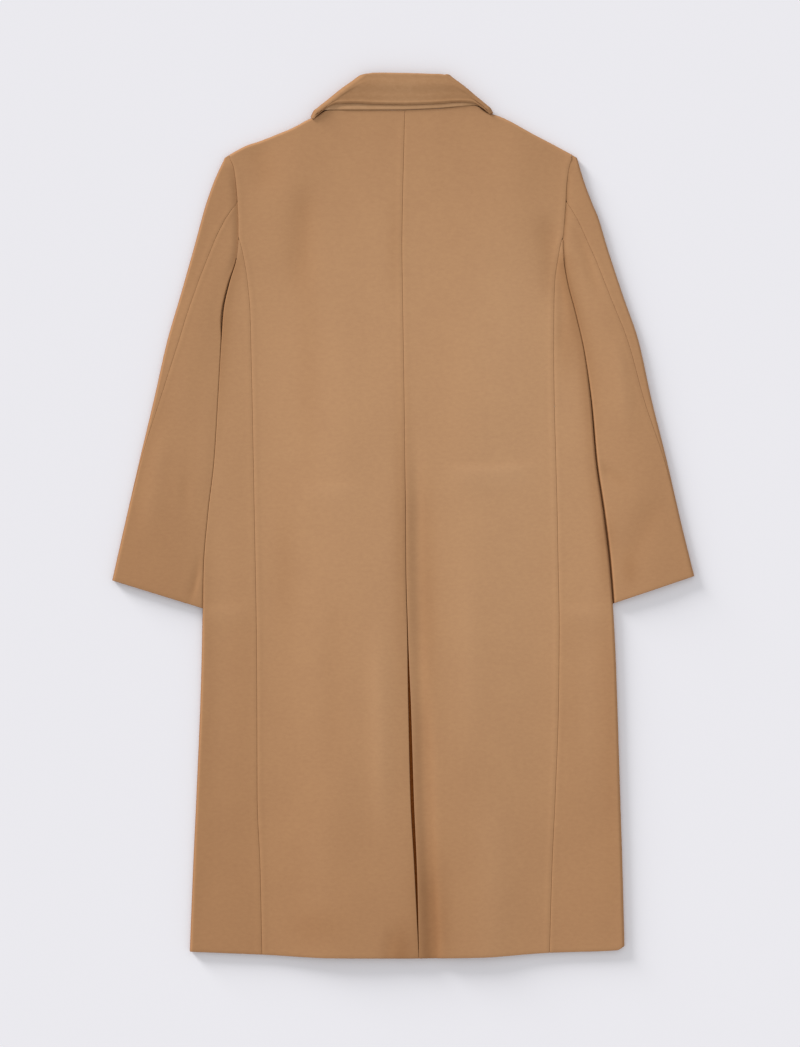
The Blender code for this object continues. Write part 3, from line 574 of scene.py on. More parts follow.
def rounded(name, mesh, painted_shading, edge_round):
    """Point the faces outwards, turn the cut edges over and keep the result as a plain mesh. The
    painted shading of each point goes along as an attribute, darker where the surface turns down."""
    mesh.attributes.new("painted_shading", "FLOAT", "POINT").data.foreach_set("value", painted_shading)
    shape = bmesh.new()
    shape.from_mesh(mesh)
    bmesh.ops.recalc_face_normals(shape, faces=shape.faces)
    weight = shape.edges.layers.float.new("bevel_weight_edge")
    for edge in shape.edges:
        if edge.calc_face_angle() > SHARP:
            room = min(other.calc_length() for face in edge.link_faces for other in face.edges
                       if other is not edge and (other.verts[0] in edge.verts)
                       != (other.verts[1] in edge.verts))
            least = 1.0 if sum(v.co.z for v in edge.verts) / 2 > LOW_EDGE * MM else LOW_ROUND
            fits = ROOM_SHARE * room / (edge_round * MM)
            edge[weight] = min(least, fits) if fits > LEAST_FIT else 0.0
    shape.to_mesh(mesh)
    shape.free()
    raw = add_object(name + "_raw", mesh)
    bevel = raw.modifiers.new("turned edge", "BEVEL")
    bevel.width, bevel.segments = edge_round * MM, BEVEL_STEPS
    bevel.limit_method, bevel.use_clamp_overlap = "WEIGHT", False
    done = applied(raw)
    bpy.data.meshes.remove(mesh)
    done.name = name
    done.shade_smooth()
    spots = np.empty(3 * len(done.vertices))
    done.vertices.foreach_get("co", spots)
    spots[2::3] = np.maximum(spots[2::3], 0.0)      # the floor bears everything
    done.vertices.foreach_set("co", spots)
    painted_shadings, normals = np.empty(len(done.vertices)), np.empty(3 * len(done.vertices))
    values = done.attributes["painted_shading"].data
    values.foreach_get("value", painted_shadings)
    done.vertex_normals.foreach_get("vector", normals)
    # Painted shade on every turned-down surface, most where it faces the key light.
    painted_shadings *= 1 - FOLD_PAINTED_SHADE * (1 - PAINTED_SHADE_LEAN * normals[0::3]) * (1 - np.abs(normals[2::3]))
    values.foreach_set("value", painted_shadings)
    return add_object(name, done)


def keep(name, outer, thing):
    """Note a piece with its cut: the widest row, the longest column and half its surface."""
    across = np.linalg.norm(np.diff(outer, axis=1), axis=2).sum(1).max() * MM
    along = np.linalg.norm(np.diff(outer, axis=0), axis=2).sum(0).max() * MM
    area = sum(face.area for face in thing.data.polygons) / 2
    PIECES[name] = Piece(thing, across, along, min(area, across * along))
    print(f"{name}: {len(thing.data.polygons)} faces, cut {across:.3f} x {along:.3f} m, "
          f"{area:.4f} m2")


END_SQUEEZE = 0.08


def eased(count):
    """Shares from 0 to 1 that lie closer together near both ends, where the seams are."""
    u = np.linspace(0, 1, count)
    return u - END_SQUEEZE * np.sin(2 * np.pi * u)


# %% [markdown]
# ## Rows down the body
#
# The first rows follow the shoulder, where the cloth folds over to the front. Then the rows turn
# until they lie level at the underarm, and below it they go straight down to the hem.

# %% Row depths and the shoulder's fold
SHOULDER_ROWS, ARM_ROWS, BODY_ROWS, HIDDEN_ROWS = 9, 36, 195, 100
FIRST_ARM_ROW = 68      # its depth, just below the shoulder's fold
ARM_DEPTHS = np.linspace(FIRST_ARM_ROW, UNDERARM, ARM_ROWS)
BODY_DEPTHS = np.linspace(UNDERARM + ROW_STEP, HEM_LEVEL, BODY_ROWS)
HIDDEN_DEPTHS = np.linspace(UNDERARM + HIDDEN_STEP, HEM_LEVEL, HIDDEN_ROWS)
SHOULDER_TURNS = np.radians(np.linspace(0, 90, SHOULDER_ROWS))
NECK_SPREAD = 3.9       # the fold's rows take this much depth where there is no fold
FOLD_START = 8.0        # the fold grows to its full turn over this distance from the neck


def shoulder_rows(side, outs, facing):
    """Grids (rows, columns, 3) of (out, depth, height) for the outer and the inner face."""
    fold = np.clip((outs - SHOULDER_START[side]) / FOLD_START, 0.0, 1.0)
    grids = []
    for radius in (HALF, HALF - CLOTH):
        rows = []
        for index, angle in enumerate(SHOULDER_TURNS):
            middle = LAYER * neck_share(outs) + HALF + (facing * SEAM / 2 if index == 0 else 0.0)
            spread = (1 - fold) * NECK_SPREAD * index / (len(SHOULDER_TURNS) - 1)
            back_off = fold * (HALF - radius * math.cos(angle))
            rows.append(np.stack([
                outs - SHOULDER_OUT[0] * back_off,
                TOP[side](outs) - SHOULDER_OUT[1] * back_off + spread,
                middle + facing * radius * mix(1.0, math.sin(angle), fold)], -1))
        grids.append(np.stack(rows))
    return grids


def yoke_depth(top, top_at_end, depth):
    if depth >= UNDERARM:
        return depth + 0 * top
    return UNDERARM - (UNDERARM - depth) * (UNDERARM - top) / (UNDERARM - top_at_end)


def panel(kind, side, outs, facing, shares, depths, ends, heights):
    """A back, which faces up (1), or a front, which faces down (-1). outs are the places along its
    top edge, "ends" gives the two ends of a row and "heights" how high the face that shows lies."""
    sign, arm = SIDES[side], -1 if facing > 0 else 0
    folds = shoulder_rows(side, outs, facing)
    grids = [[grid * np.array([sign, 1, 1])] for grid in folds]
    tops = folds[0][-1, :, 1]
    for depth in depths:
        x = mix(*ends(depth, tops), shares)
        spot = hem_depth(x, yoke_depth(tops, tops[arm], depth))
        height = heights(side, x, spot)
        for grid, behind in zip(grids, (0.0, facing * CLOTH)):
            grid.append(np.stack([x, spot, height - behind], -1)[None])
    closed_wall(kind + "_" + side, *[np.concatenate(grid) for grid in grids])


# %% [markdown]
# ## The centre backs
#
# Two long panels meet at the centre-back seam. Below the seat the seam opens as a vent, and the
# panels' edges stand a few millimetres apart there before they close again at the hem.

# %% Centre backs
BACK_COLUMNS = 78
SEAM_END, TOP_FADE = (690, 740), (2, 30)    # the centre seam's relief ends here, all relief begins
SIDE_FADE, ARM_FADE = (SIDE_TOP - 20, SIDE_TOP + 10), (UNDERARM - 12, UNDERARM)
SIDE_PHASE, ARM_PHASE, SLEEVE_SEAM_PHASE = 40, 90, 15       # no two seams pucker in step


def relief_on_back(side, x, depth):
    """Creases, unevenness and the relief beside the seams, for the faces that show."""
    sewn = 1 - smooth(depth, *SEAM_END)
    to_centre = x - CENTRE(depth)
    to_side = np.abs(x) - SIDE_SEAM[side](depth)
    to_arm = np.abs(x) - EDGE[side](depth)
    lift = crease_lift(x, depth) + unevenness(x, depth)
    lift = lift + seam_relief(to_centre, depth, CENTRE_RIDGES) * sewn
    lift = lift + (seam_relief(to_side, depth + SIDE_PHASE, SIDE_RIDGES)
                   * smooth(depth, *SIDE_FADE))
    lift = lift + (seam_relief(to_arm, depth + ARM_PHASE, SLEEVE_RIDGES)
                   * (1 - smooth(depth, *ARM_FADE)))
    return lift * smooth(depth, *TOP_FADE)


def back_face(side, x, depth):
    return back_top(side, x, depth) + relief_on_back(side, x, depth)


def centre_back(side):
    sign = SIDES[side]

    def ends(depth, tops):
        centre_depth = yoke_depth(tops[0], tops[-1], depth)
        return (CENTRE(centre_depth) + sign * SLIT(centre_depth) / 2,
                sign * (SIDE_SEAM[side](depth) - SEWN / 2))

    shares = eased(BACK_COLUMNS)
    outs = sign * mix(CENTRE(0) + sign * SEWN / 2, sign * (EDGE[side](0) - SEWN / 2), shares)
    panel("back", side, outs, 1, shares, [*ARM_DEPTHS, *BODY_DEPTHS], ends, back_face)


for side in SIDES:
    centre_back(side)

# %% [markdown]
# ## The side bodies
#
# Each side body runs from the side-back seam out to the coat's edge, folds round it and goes under
# to the front. Its points are worked out along that path, with more of them round the fold.

# %% Side bodies
SIDE_COLUMNS, FOLD_COLUMNS, UNDER_COLUMNS = 25, 11, 11
FOLD_TURNS = np.radians(np.linspace(90, -90, FOLD_COLUMNS))
FOLD_FADE = 12.0        # the relief fades out over this distance before a fold


def side_body(side):
    sign = SIDES[side]
    depths = np.concatenate([ARM_DEPTHS[ARM_DEPTHS >= SIDE_TOP - 2], BODY_DEPTHS])
    flat = eased(SIDE_COLUMNS + 1)[:-1]
    under = np.linspace(0, 1, UNDER_COLUMNS + 1)[1:]
    grid, missing = [], []
    for r, depth in enumerate(depths):
        is_open = depth < UNDERARM
        edge = EDGE[side](depth) - (SEWN / 2 if is_open else 0.0)
        fold_start = edge - HALF * fold_roundness(side, depth)
        out = mix(SIDE_SEAM[side](depth) + SEWN / 2, fold_start, flat)
        x = sign * out
        fade = 1 - smooth(out, fold_start - FOLD_FADE, fold_start) * (not is_open)
        relief = relief_on_back(side, x, depth + 0 * x) * fade
        top = back_top(side, x, depth) + relief
        reach = np.cos(FOLD_TURNS) * fold_roundness(side, depth)
        low = mix(fold_start, UNDER[side](depth) + SEAM / 2, under)
        rows = []
        for radius, behind in ((HALF, 0.0), (HALF - CLOTH, CLOTH)):
            outs = np.concatenate([out, fold_start + radius * reach, low])
            heights = np.concatenate([top - behind, HALF + radius * np.sin(FOLD_TURNS),
                                      behind + 0 * low])
            xs = sign * outs
            rows.append(np.stack([xs, hem_depth(xs, depth), heights], -1))
        grid.append(rows)
        if is_open:
            missing += [(r, len(flat) + k) for k in range(len(FOLD_TURNS) - 1)]
    wall_of_rows("side_" + side, grid, missing)


for side in SIDES:
    side_body(side)

# %% [markdown]
# ## The fronts
#
# They lie underneath, face down, and only their outlines would show if the coat were lifted. They
# are plain: a V neck, an overlapped edge, and the inner front climbing over the outer one.

# %% Fronts
FRONT_COLUMNS = 34


def front(side):
    def ends(depth, tops):
        edge = EDGE if depth < SIDE_TOP else UNDER
        return (SIDES[side] * (edge[side](depth) - SEAM / 2),
                SIDES[side] * FRONT[side](yoke_depth(tops[-1], tops[0], depth)))

    shares = np.linspace(0, 1, FRONT_COLUMNS)
    outs = mix(EDGE[side](0) - SEAM / 2, FRONT_NECK_OUT[side], shares)
    panel("front", side, outs, -1, shares, [*ARM_DEPTHS, *HIDDEN_DEPTHS], ends, front_bottom)


for side in SIDES:
    front(side)

# %% [markdown]
# ## The vent's underlap
#
# Behind the slit lies a strip of the same cloth, but painted dark brown, as painted shade: that is
# why the slit looks dark and not open.

# %% Vent underlap
UNDERLAP_CLOTH, VENT_TOP, VENT_END = 2.0, 700.0, 1172.0
UNDERLAP_LEFT, UNDERLAP_RIGHT = 30.0, 26.0
UNDERLAP_ROWS, UNDERLAP_COLUMNS, UNDERLAP_ROUND = 60, 13, 0.7

depths = np.linspace(VENT_TOP, VENT_END, UNDERLAP_ROWS)[:, None]
across = np.linspace(-UNDERLAP_LEFT, UNDERLAP_RIGHT, UNDERLAP_COLUMNS)[None]
underlap_x = CENTRE(depths) + across
underlap = np.stack([underlap_x, depths + 0 * underlap_x, 0 * underlap_x], -1)
closed_wall("vent_underlap", underlap + (0, 0, 2 * LAYER + UNDERLAP_CLOTH),
            underlap + (0, 0, 2 * LAYER), edge_round=UNDERLAP_ROUND)

# %% [markdown]
# ## The sleeves
#
# A sleeve laid flat is a flattened tube. Each row runs from the inner edge to the outer one, and a
# path goes round it: over the upper face, round the outer fold, back along the lower face. The back
# seam divides it in two pieces, and it drifts out to the edge above the elbow, so lower down the
# whole upper face is the under sleeve.

# %% A row across a sleeve
TUCK = 0.3              # how far the sleeve's lower half reaches past the gap, in millimetres
SLEEVE_PHASE = 30       # so that the sleeve's unevenness isn't the back's
SEAM_NEAR, SEAM_FAR = 14, 8     # the seam's relief ends this close to the inner and outer edge
ARM_DIP_DEPTHS, ARM_DIP_END, SLEEVE_DEPTHS = (66, 110), 40, (62, 90)
INNER_FADE, FADE_CHANGE = 10, 45    # the relief ends at the inner fold, more and more so below


class SleeveSection:
    def __init__(self, side, depth):
        self.side, self.sign, self.depth = side, SIDES[side], depth
        rows = SLEEVES[side]
        self.is_open = depth < UNDERARM
        self.gap = GAP[side](depth)
        inner_out = EDGE[side](depth) + self.gap
        if depth < HEAD_DEPTHS[1]:      # the sleeve's head follows the shoulder's fold
            into_fold = min(depth - SHOULDER_DEPTH, -SHOULDER_OUT[1] * HALF)
            inner_out = min(inner_out, EDGE[side](0) + SEWN
                            + into_fold * SHOULDER_OUT[0] / SHOULDER_OUT[1])
        self.inner_end = np.array([inner_out, depth])
        outer_end = np.array([table_curve(rows, "outer_out")(depth),
                              table_curve(rows, "outer_depth")(depth)])
        self.width = np.linalg.norm(outer_end - self.inner_end)
        self.along = (outer_end - self.inner_end) / self.width
        self.radius = mix(SLEEVE_HEAD_HEIGHT, FULL, smooth(depth, *HEAD_DEPTHS)) / 2
        self.seam = table_curve(rows, "seam_share")(depth) * self.width
        self.crown = SLEEVE_CROWN * smooth(depth, *CROWN_DEPTHS)
        self.roundness = fold_roundness(side, depth)
        self.inner_start = self.radius * self.roundness
        self.flat_end = self.width - self.radius

    def points(self, across, height):
        spots = self.inner_end + np.multiply.outer(across, self.along)
        return np.stack([self.sign * spots[..., 0], spots[..., 1], height + 0 * across], -1)

    def relief(self, across):
        """Creases and seam relief on the upper face, fading out at the folds."""
        spots = self.points(across, 0.0)
        x, depth = spots[..., 0], spots[..., 1]
        lift = crease_lift(x, depth) + unevenness(x + SLEEVE_PHASE, depth)
        on_face = (smooth(self.seam, 0, SEAM_NEAR)
                   * (1 - smooth(self.seam, self.flat_end - SEAM_FAR, self.width)))
        lift = lift + on_face * seam_relief(across - self.seam, depth + SLEEVE_SEAM_PHASE,
                                            SLEEVE_RIDGES)
        arm = (smooth(self.depth, *ARM_DIP_DEPTHS)
               * (1 - smooth(self.depth, UNDERARM, UNDERARM + ARM_DIP_END)))
        lift = lift - ARM_DIP[self.side] * bell(across, ARM_DIP_WIDTH) * arm
        fade = 1 - smooth(across, self.flat_end - FOLD_FADE, self.flat_end)
        if not self.is_open:
            fold_fade = smooth(across, self.inner_start, self.inner_start + INNER_FADE)
            change = smooth(self.depth, UNDERARM, UNDERARM + FADE_CHANGE)
            fade = fade * mix(1.0, fold_fade, change)
        return lift * fade * smooth(self.depth, *SLEEVE_DEPTHS)

    def path(self, run):
        """Outer and inner points along the way over the outer edge. run is the length from where
        the upper face meets the fold: negative on the upper face, past the fold on the lower."""
        run = np.asarray(run, float)
        half_turn = math.pi * self.radius
        angle = math.pi / 2 - np.clip(run, 0, half_turn) / self.radius
        flat = np.where(run <= 0, self.flat_end + run,
                        self.flat_end - np.maximum(run - half_turn, 0))
        share = np.clip((flat - self.inner_start) / (self.flat_end - self.inner_start), 0, 1)
        swell = np.where(run <= 0, self.crown * np.sin(math.pi * share) + self.relief(flat), 0.0)
        faces = []
        for radius in (self.radius, self.radius - CLOTH):
            across = flat + radius * np.cos(angle) * ((run > 0) & (run < half_turn))
            faces.append(self.points(across, HALF + radius * np.sin(angle) + swell))
        return faces

    def inner_fold(self, turns):
        """The fold beside the body. Its lower half reaches under the gap, so no floor shows, and
        where the two folds meet, its upper half touches the body's."""
        recess = (1 - math.sqrt(0.5)) * self.inner_start
        below = np.clip(-np.sin(2 * turns), 0, 1)
        above = np.clip(np.sin(2 * turns), 0, 1) ** 2 * MEET[self.side](self.depth)
        tuck = (self.gap + TUCK + recess) * below + (self.gap + 2 * recess) * above
        drop = self.relief(np.array([self.inner_start]))[0] * np.clip(np.sin(turns), 0, 1)
        return [self.points(self.inner_start - radius * self.roundness * np.cos(turns) - tuck,
                            HALF + radius * np.sin(turns) + drop)
                for radius in (self.radius, self.radius - CLOTH)]

    def lower(self, across):
        bottom = HALF - self.radius
        return [self.points(across, bottom), self.points(across, bottom + CLOTH)]


# %% Sleeve pieces
LEAST_SEAM = 0.6        # how wide the under sleeve's pointed top is, in millimetres
HEAD_ROWS = (62.5, 64.5, 66.5)      # the first rows, over the sleeve's head
LAST_STEP = 3.0                     # the least distance between the last two
UPPER_COLUMNS, LOWER_COLUMNS = 33, 22       # across the two faces of the outer half
INNER_COLUMNS = 4, 34, FOLD_COLUMNS - 1, 8  # near the seam, up to the fold, round it and beneath
NEAR_SHARE = 0.06       # share of the under sleeve's upper face taken by the cells at its seam


def sleeve_sections(side):
    below = np.arange(UNDERARM + ROW_STEP, CUFF_DEPTH[side] - LAST_STEP, ROW_STEP)
    return [SleeveSection(side, depth)
            for depth in (*HEAD_ROWS, *ARM_DEPTHS, *below, CUFF_DEPTH[side])]


def top_sleeve(side):
    """The outer half: from the back seam over the outer edge to the hidden front seam."""
    rows = []
    for section in sleeve_sections(side):
        half_turn = math.pi * section.radius
        seam_run = section.seam + SEWN / 2 - section.flat_end
        hidden_seam = ARM_FRONT(section.depth) + SEAM / 2 if section.depth >= ARM_SEAM_TOP else 0.0
        runs = np.concatenate([
            np.linspace(seam_run, half_turn, UPPER_COLUMNS)[:-1],
            np.linspace(half_turn, half_turn + section.flat_end - hidden_seam, LOWER_COLUMNS)])
        rows.append(section.path(runs))
    wall_of_rows("sleeve_top_" + side, rows)


def under_sleeve(side):
    """The inner half: from the back seam over the upper face and round the inner edge."""
    sections = [s for s in sleeve_sections(side) if s.depth >= UNDER_SLEEVE_TOP]
    near, flat, fold, low = INNER_COLUMNS
    rows, missing = [], []
    for r, section in enumerate(sections):
        seam_run = max(section.seam, LEAST_SEAM) - SEWN / 2 - section.flat_end
        end_run = section.inner_start - section.flat_end
        start_run = min(0.0, mix(seam_run, end_run, NEAR_SHARE))
        runs = np.concatenate([np.linspace(seam_run, start_run, near + 1)[:-1],
                               mix(start_run, end_run, eased(flat + 1))])
        upper = section.path(runs)
        if section.is_open:
            turned = section.lower(np.zeros(fold))
        else:
            turned = section.inner_fold(FOLD_TURNS[1:])
        has_low = section.depth >= ARM_SEAM_TOP
        end = ARM_FRONT(section.depth) - SEAM / 2 if has_low else 0.0
        lower = section.lower(np.linspace(section.inner_start, end, low + 1)[1:])
        rows.append([np.concatenate(parts) for parts in zip(upper, turned, lower)])
        first_fold = near + flat
        if section.is_open:
            missing += [(r, first_fold + k) for k in range(fold)]
        if not has_low:
            missing += [(r, first_fold + fold + k) for k in range(low)]
    wall_of_rows("sleeve_under_" + side, rows, missing)


for side in SIDES:
    top_sleeve(side)
    under_sleeve(side)

# %% [markdown]
# ## The collar
#
# The collar goes round the neck in stations. At each one the leaf runs up from its edge, over the
# rounded roll and down to the stand's top, and the stand goes on down to the neck seam. Between the
# back and the hidden front ends the stations turn over the slope beside the neck.

# %% Collar table: "turn" is the way the cloth faces, 90 up and -90 down. "lean" is 0 where the roll
# faces straight up the picture and 1 where it faces along the leaf. "droop" is how far the leaf's
# edge hangs over the shoulder.
Station = namedtuple("Station", "turn roll_out roll_depth lean edge_out edge_depth droop "
                     "neck_out neck_depth")
COLLAR_CENTRE = Station(90, 0.0, -48.9, 0.0, 0.0, -7.0, 0, 0.0, -0.2)
COLLAR = {
    "left": [Station(*row) for row in (
        (90, 20, -49.2, 0, 44, -7.8, 0, 50, 0),
        (90, 32, -49.4, 0, 74, -9.2, 0, 80, 0),
        (90, 42, -49.3, 0, 97.5, -9, 1, 104, 0),
        (90, 50.5, -48.3, 0.1, 127.5, 8.6, 4, 114.4, -0.3),
        (60, 55.3, -45.3, 0.3, 128.5, 9.3, 5, 114.4, -0.3),
        (30, 61.3, -42, 0.6, 128.5, 9.3, 5, 114.4, -0.3),
        *[(turn, 66, -38.2, 1, 128.5, 9.3, droop, 114.4, -0.3)
          for turn, droop in ((0, 4), (-30, 3), (-60, 3), (-90, 4))],
        (-90, 61, -10, 1, 137, 30, 0, 104.4, 12),
        (-90, 61, 25, 1, 130, 68, 0, 90.4, 40),
        (-90, 60, 70, 1, 112, 108, 0, 72.3, 76),
    )],
    "right": [Station(*row) for row in (
        (90, 20, -48.4, 0, 40, -8.3, 0, 46, -2.2),
        (90, 38, -47.7, 0, 74, -10.5, 0, 80, -5.1),
        (90, 47, -47.6, 0, 94, -10.6, 1, 97.5, -6.4),
        (90, 55, -46.7, 0.1, 117.5, 1.6, 4, 107, -4.4),
        (60, 57.5, -45, 0.3, 119, 3.4, 4, 107, -4.4),
        (30, 59.3, -43.3, 0.55, 119.5, 4.6, 4, 107, -4.4),
        (0, 60.8, -41.6, 0.8, 119.5, 5.2, 2, 107, -4.4),
        *[(turn, 60.8, -41.6, 1, 119.5, 5.2, droop, 107, -4.4)
          for turn, droop in ((-30, 2), (-60, 2), (-90, 3))],
        (-90, 57, -10, 1, 131, 28, 0, 97.9, 12),
        (-90, 57, 25, 1, 126, 66, 0, 84.9, 40),
        (-90, 57, 70, 1, 110, 106, 0, 68.4, 76),
    )],
}
COLLAR_MIDDLE = LAYER + HALF
STAND_OUTSIDE, STAND_INSIDE, STAND_TOP = HALF, HALF - CLOTH, 2.0
LEAF_OUTSIDE, LEAF_INSIDE = HALF + LAYER, HALF + SEAM
SQUASH = 0.75           # under 1, the slopes' folds lie pressed flat and turn down sharply
DROOP_START = 0.9       # share of the leaf, from the roll, where it starts to droop
STATION_STEPS = 7       # fine stations between two of the table


def collar_half(side):
    """All fine stations of one half, from the centre back to the front end, as an array."""
    rows = np.array([COLLAR_CENTRE, *COLLAR[side]], float)
    at = np.linspace(0, len(rows) - 1, (len(rows) - 1) * STATION_STEPS + 1)
    return Station(*[soft_curve(list(enumerate(column)))(at)[:, None] for column in rows.T])


def collar_points(side, stations, low, profile):
    """Points (station, profile, 3). profile gives the share of the way from the roll down to the
    low line, the distance beyond the roll and the distance from the collar's middle."""
    turn = np.radians(stations.turn)
    aside = np.abs(np.cos(turn)) ** SQUASH
    upright = np.sign(np.sin(turn)) * np.abs(np.sin(turn)) ** SQUASH
    roll = np.concatenate([stations.roll_out, stations.roll_depth], -1)
    up = roll - low
    up /= np.linalg.norm(up, axis=1)[:, None]
    sideways = np.stack([-up[:, 1], up[:, 0]], -1)
    sideways *= np.where(sideways[:, :1] < 0, -1, 1)
    outwards = mix(np.array([[0, -1.0]]), up, stations.lean)
    outwards /= np.linalg.norm(outwards, axis=1)[:, None]
    share, beyond, radius = (np.array(column)[None, :, None] for column in zip(*profile))
    spots = (mix(roll[:, None], low[:, None], share) + outwards[:, None] * beyond
             + sideways[:, None] * radius * aside[..., None])
    heights = np.maximum(COLLAR_MIDDLE + radius[..., 0] * upright, 0.0)
    return np.stack([SIDES[side] * spots[..., 0], spots[..., 1], heights], -1)


def both_halves(low_columns, profile, droops=False):
    """Loops of points round the whole collar, from the left front end to the right one."""
    halves = []
    for side in SIDES:
        stations = collar_half(side)
        low = np.concatenate([getattr(stations, column) for column in low_columns], -1)
        points = collar_points(side, stations, low, profile)
        if droops:
            shares = np.array([share for share, _, _ in profile])
            points[..., 1] += stations.droop * smooth(shares, DROOP_START, 1.0)
        halves.append(points)
    return np.concatenate([halves[0][::-1], halves[1][1:]])


def swept(name, loops, shown, painted_shading):
    """Keep a closed solid through a row of closed loops, with both ends filled. The first "shown"
    points of a loop are the cloth's outer face, from edge to edge."""
    count, size = loops.shape[:2]
    number = np.arange(count * size).reshape(count, size)
    after = np.roll(number, -1, axis=1)
    faces = np.stack([number[:-1], after[:-1], after[1:], number[1:]], -1).reshape(-1, 4).tolist()
    faces += [number[0].tolist(), number[-1][::-1].tolist()]
    keep(name, loops[:, :shown].transpose(1, 0, 2),
         rounded(name, new_mesh(name, loops, [], faces), painted_shading.ravel(), COLLAR_ROUND))


# %% Collar pieces
LEAF_SWELL, SWELL_PACE, LIP, THIN_EDGE = 0.7, 1.5, 0.3, 1.0
LIP_START, LIP_END, THIN_SHARES = (0.7, 0.88), (0.88, 0.93), (0.94, 1.0)
LEAF_ROWS, LEAF_EASE, STAND_ROWS = 27, 1.3, 13      # the leaf's rows lie closer near its edge
ROLL_ROWS, ROLL_TURN = 11, 75
BAND_SWELL, BAND_SHARES, BAND_OUT = 1.2, (0.84, 0.92), (84, 98)     # the stand's visible band
# Painted shade on the leaf, deeper towards its ends, and painted light on the stand's band.
LEAF_PAINTED_SHADE, LEAF_END_PAINTED_SHADE, LEAF_END_OUT = 0.98, 0.07, (15, 75)
BAND_PAINTED_LIGHT = 1.12
STAND_END_PAINTED_LIGHT, BAND_END_OUT = 0.4, (104, 110)    # painted lighter still at the stand's ends, in the leaf's shadow


def leaf_thickness(share):
    """The leaf is fullest below the roll, and its edge is a lip where the layers are turned."""
    return (LEAF_SWELL * np.sin(math.pi * np.clip(share * SWELL_PACE, 0, 1)) ** 2
            - LIP * smooth(share, *LIP_START) * (1 - smooth(share, *LIP_END))
            - THIN_EDGE * smooth(share, *THIN_SHARES))


def collar_leaf():
    roll_radius = (LEAF_OUTSIDE - STAND_INSIDE) / 2
    roll_middle = (LEAF_OUTSIDE + STAND_INSIDE) / 2
    down = 1 - (1 - np.linspace(1, 0, LEAF_ROWS)) ** LEAF_EASE
    profile = [(share, 0.0, LEAF_OUTSIDE + leaf_thickness(share)) for share in down]
    profile += [(0.0, roll_radius * math.cos(turn), roll_middle + roll_radius * math.sin(turn))
                for turn in np.radians(np.linspace(ROLL_TURN, -ROLL_TURN, ROLL_ROWS))]
    profile += [(0.0, 0.0, STAND_INSIDE)]
    profile += [(share, 0.0, LEAF_INSIDE) for share in down[::-1]]
    loops = both_halves(("edge_out", "edge_depth"), profile, droops=True)
    painted_shading = LEAF_PAINTED_SHADE - LEAF_END_PAINTED_SHADE * smooth(np.abs(loops[..., 0]), *LEAF_END_OUT)
    swept("collar_leaf", loops, LEAF_ROWS + ROLL_ROWS + 1, painted_shading)


def collar_stand():
    down = np.linspace(1, 0, STAND_ROWS)
    profile = [(share, -STAND_TOP * (1 - share), STAND_OUTSIDE) for share in down]
    profile += [(share, -STAND_TOP * (1 - share), STAND_INSIDE) for share in down[::-1]]
    loops = both_halves(("neck_out", "neck_depth"), profile)
    shares = np.array([share for share, _, _ in profile])
    loops[..., 2] += (BAND_SWELL * smooth(shares, *BAND_SHARES)
                      * (1 - smooth(np.abs(loops[..., 0]), *BAND_OUT)))
    painted_shading = BAND_PAINTED_LIGHT + STAND_END_PAINTED_LIGHT * smooth(np.abs(loops[..., 0]), *BAND_END_OUT)
    swept("collar_stand", loops, STAND_ROWS, painted_shading)


collar_leaf()
collar_stand()

# %% [markdown]
# ## Colours and nodes
#
# Colours are written as the hex values a colour picker gives, and one function turns them to the
# linear values that the shader works in. The others add a material, a node and a noise texture.

# %% Helpers for materials
def linear(hex_colour):
    channels = [int(hex_colour[i:i + 2], 16) / 255 for i in (1, 3, 5)]
    return (*[c / 12.92 if c <= 0.04045 else ((c + 0.055) / 1.055) ** 2.4 for c in channels], 1.0)


def add_node(tree, kind, settings=None, inputs=None):
    """Add a node. An input is a plain value, or another node's output to link."""
    node = tree.nodes.new(kind)
    for name, value in (settings or {}).items():
        setattr(node, name, value)
    for name, value in (inputs or {}).items():
        if isinstance(value, bpy.types.NodeSocket):
            tree.links.new(value, node.inputs[name])
        else:
            node.inputs[name].default_value = value
    return node


def new_material(name, inputs):
    """A material with these inputs on its shader. Returns it, its node tree and the shader."""
    material = bpy.data.materials.new(name)
    material.use_nodes = True
    shader = material.node_tree.nodes["Principled BSDF"]
    for socket, value in inputs.items():
        shader.inputs[socket].default_value = value
    return material, material.node_tree, shader


def add_noise(tree, where, size, **inputs):
    """A noise texture with cells of this size, in millimetres."""
    return add_node(tree, "ShaderNodeTexNoise", inputs={
        "Vector": where, "Scale": 1 / (size * MM), **inputs})


# %% [markdown]
# ## Brushed wool coating
#
# The cloth is a woollen coating, woven, then milled and brushed until a short nap hides the weave.
# To the eye it is matte, with flecks a few millimetres long lying across the coat, where tufts of
# nap lie lighter or darker, over slow clouds where the brushing was uneven. The nap scatters light
# at grazing angles, which is the sheen. All patterns read Object coordinates, in metres.

# %% The wool material
FLECK_LENGTH, FLECK_HEIGHT = 7.0, 4.2       # millimetres, across and down the cloth
CLOUD_SIZE = 60.0                           # millimetres
NAP_SIZE = 1.3                              # finer than this can't show in the picture
FLECK_SHARE, NAP_SHARE, CLOUD_SHARE = 0.6, 0.15, 0.25
NAP_HEIGHT = 0.25                           # millimetres
NAP_STRENGTH = 0.25
DARK_STOP, BASE_STOP, LIGHT_STOP = 0.36, 0.5, 0.64      # where the ramp has its three colours
PAINTED_SHADE_POWERS = (1.0, 1.35, 1.75)             # painted shade is warmer as well as darker
WOOL = {"Roughness": 0.95, "Specular IOR Level": 0.2, "Sheen Weight": 0.08,
        "Sheen Roughness": 0.6, "Sheen Tint": linear("#D8B48C")}


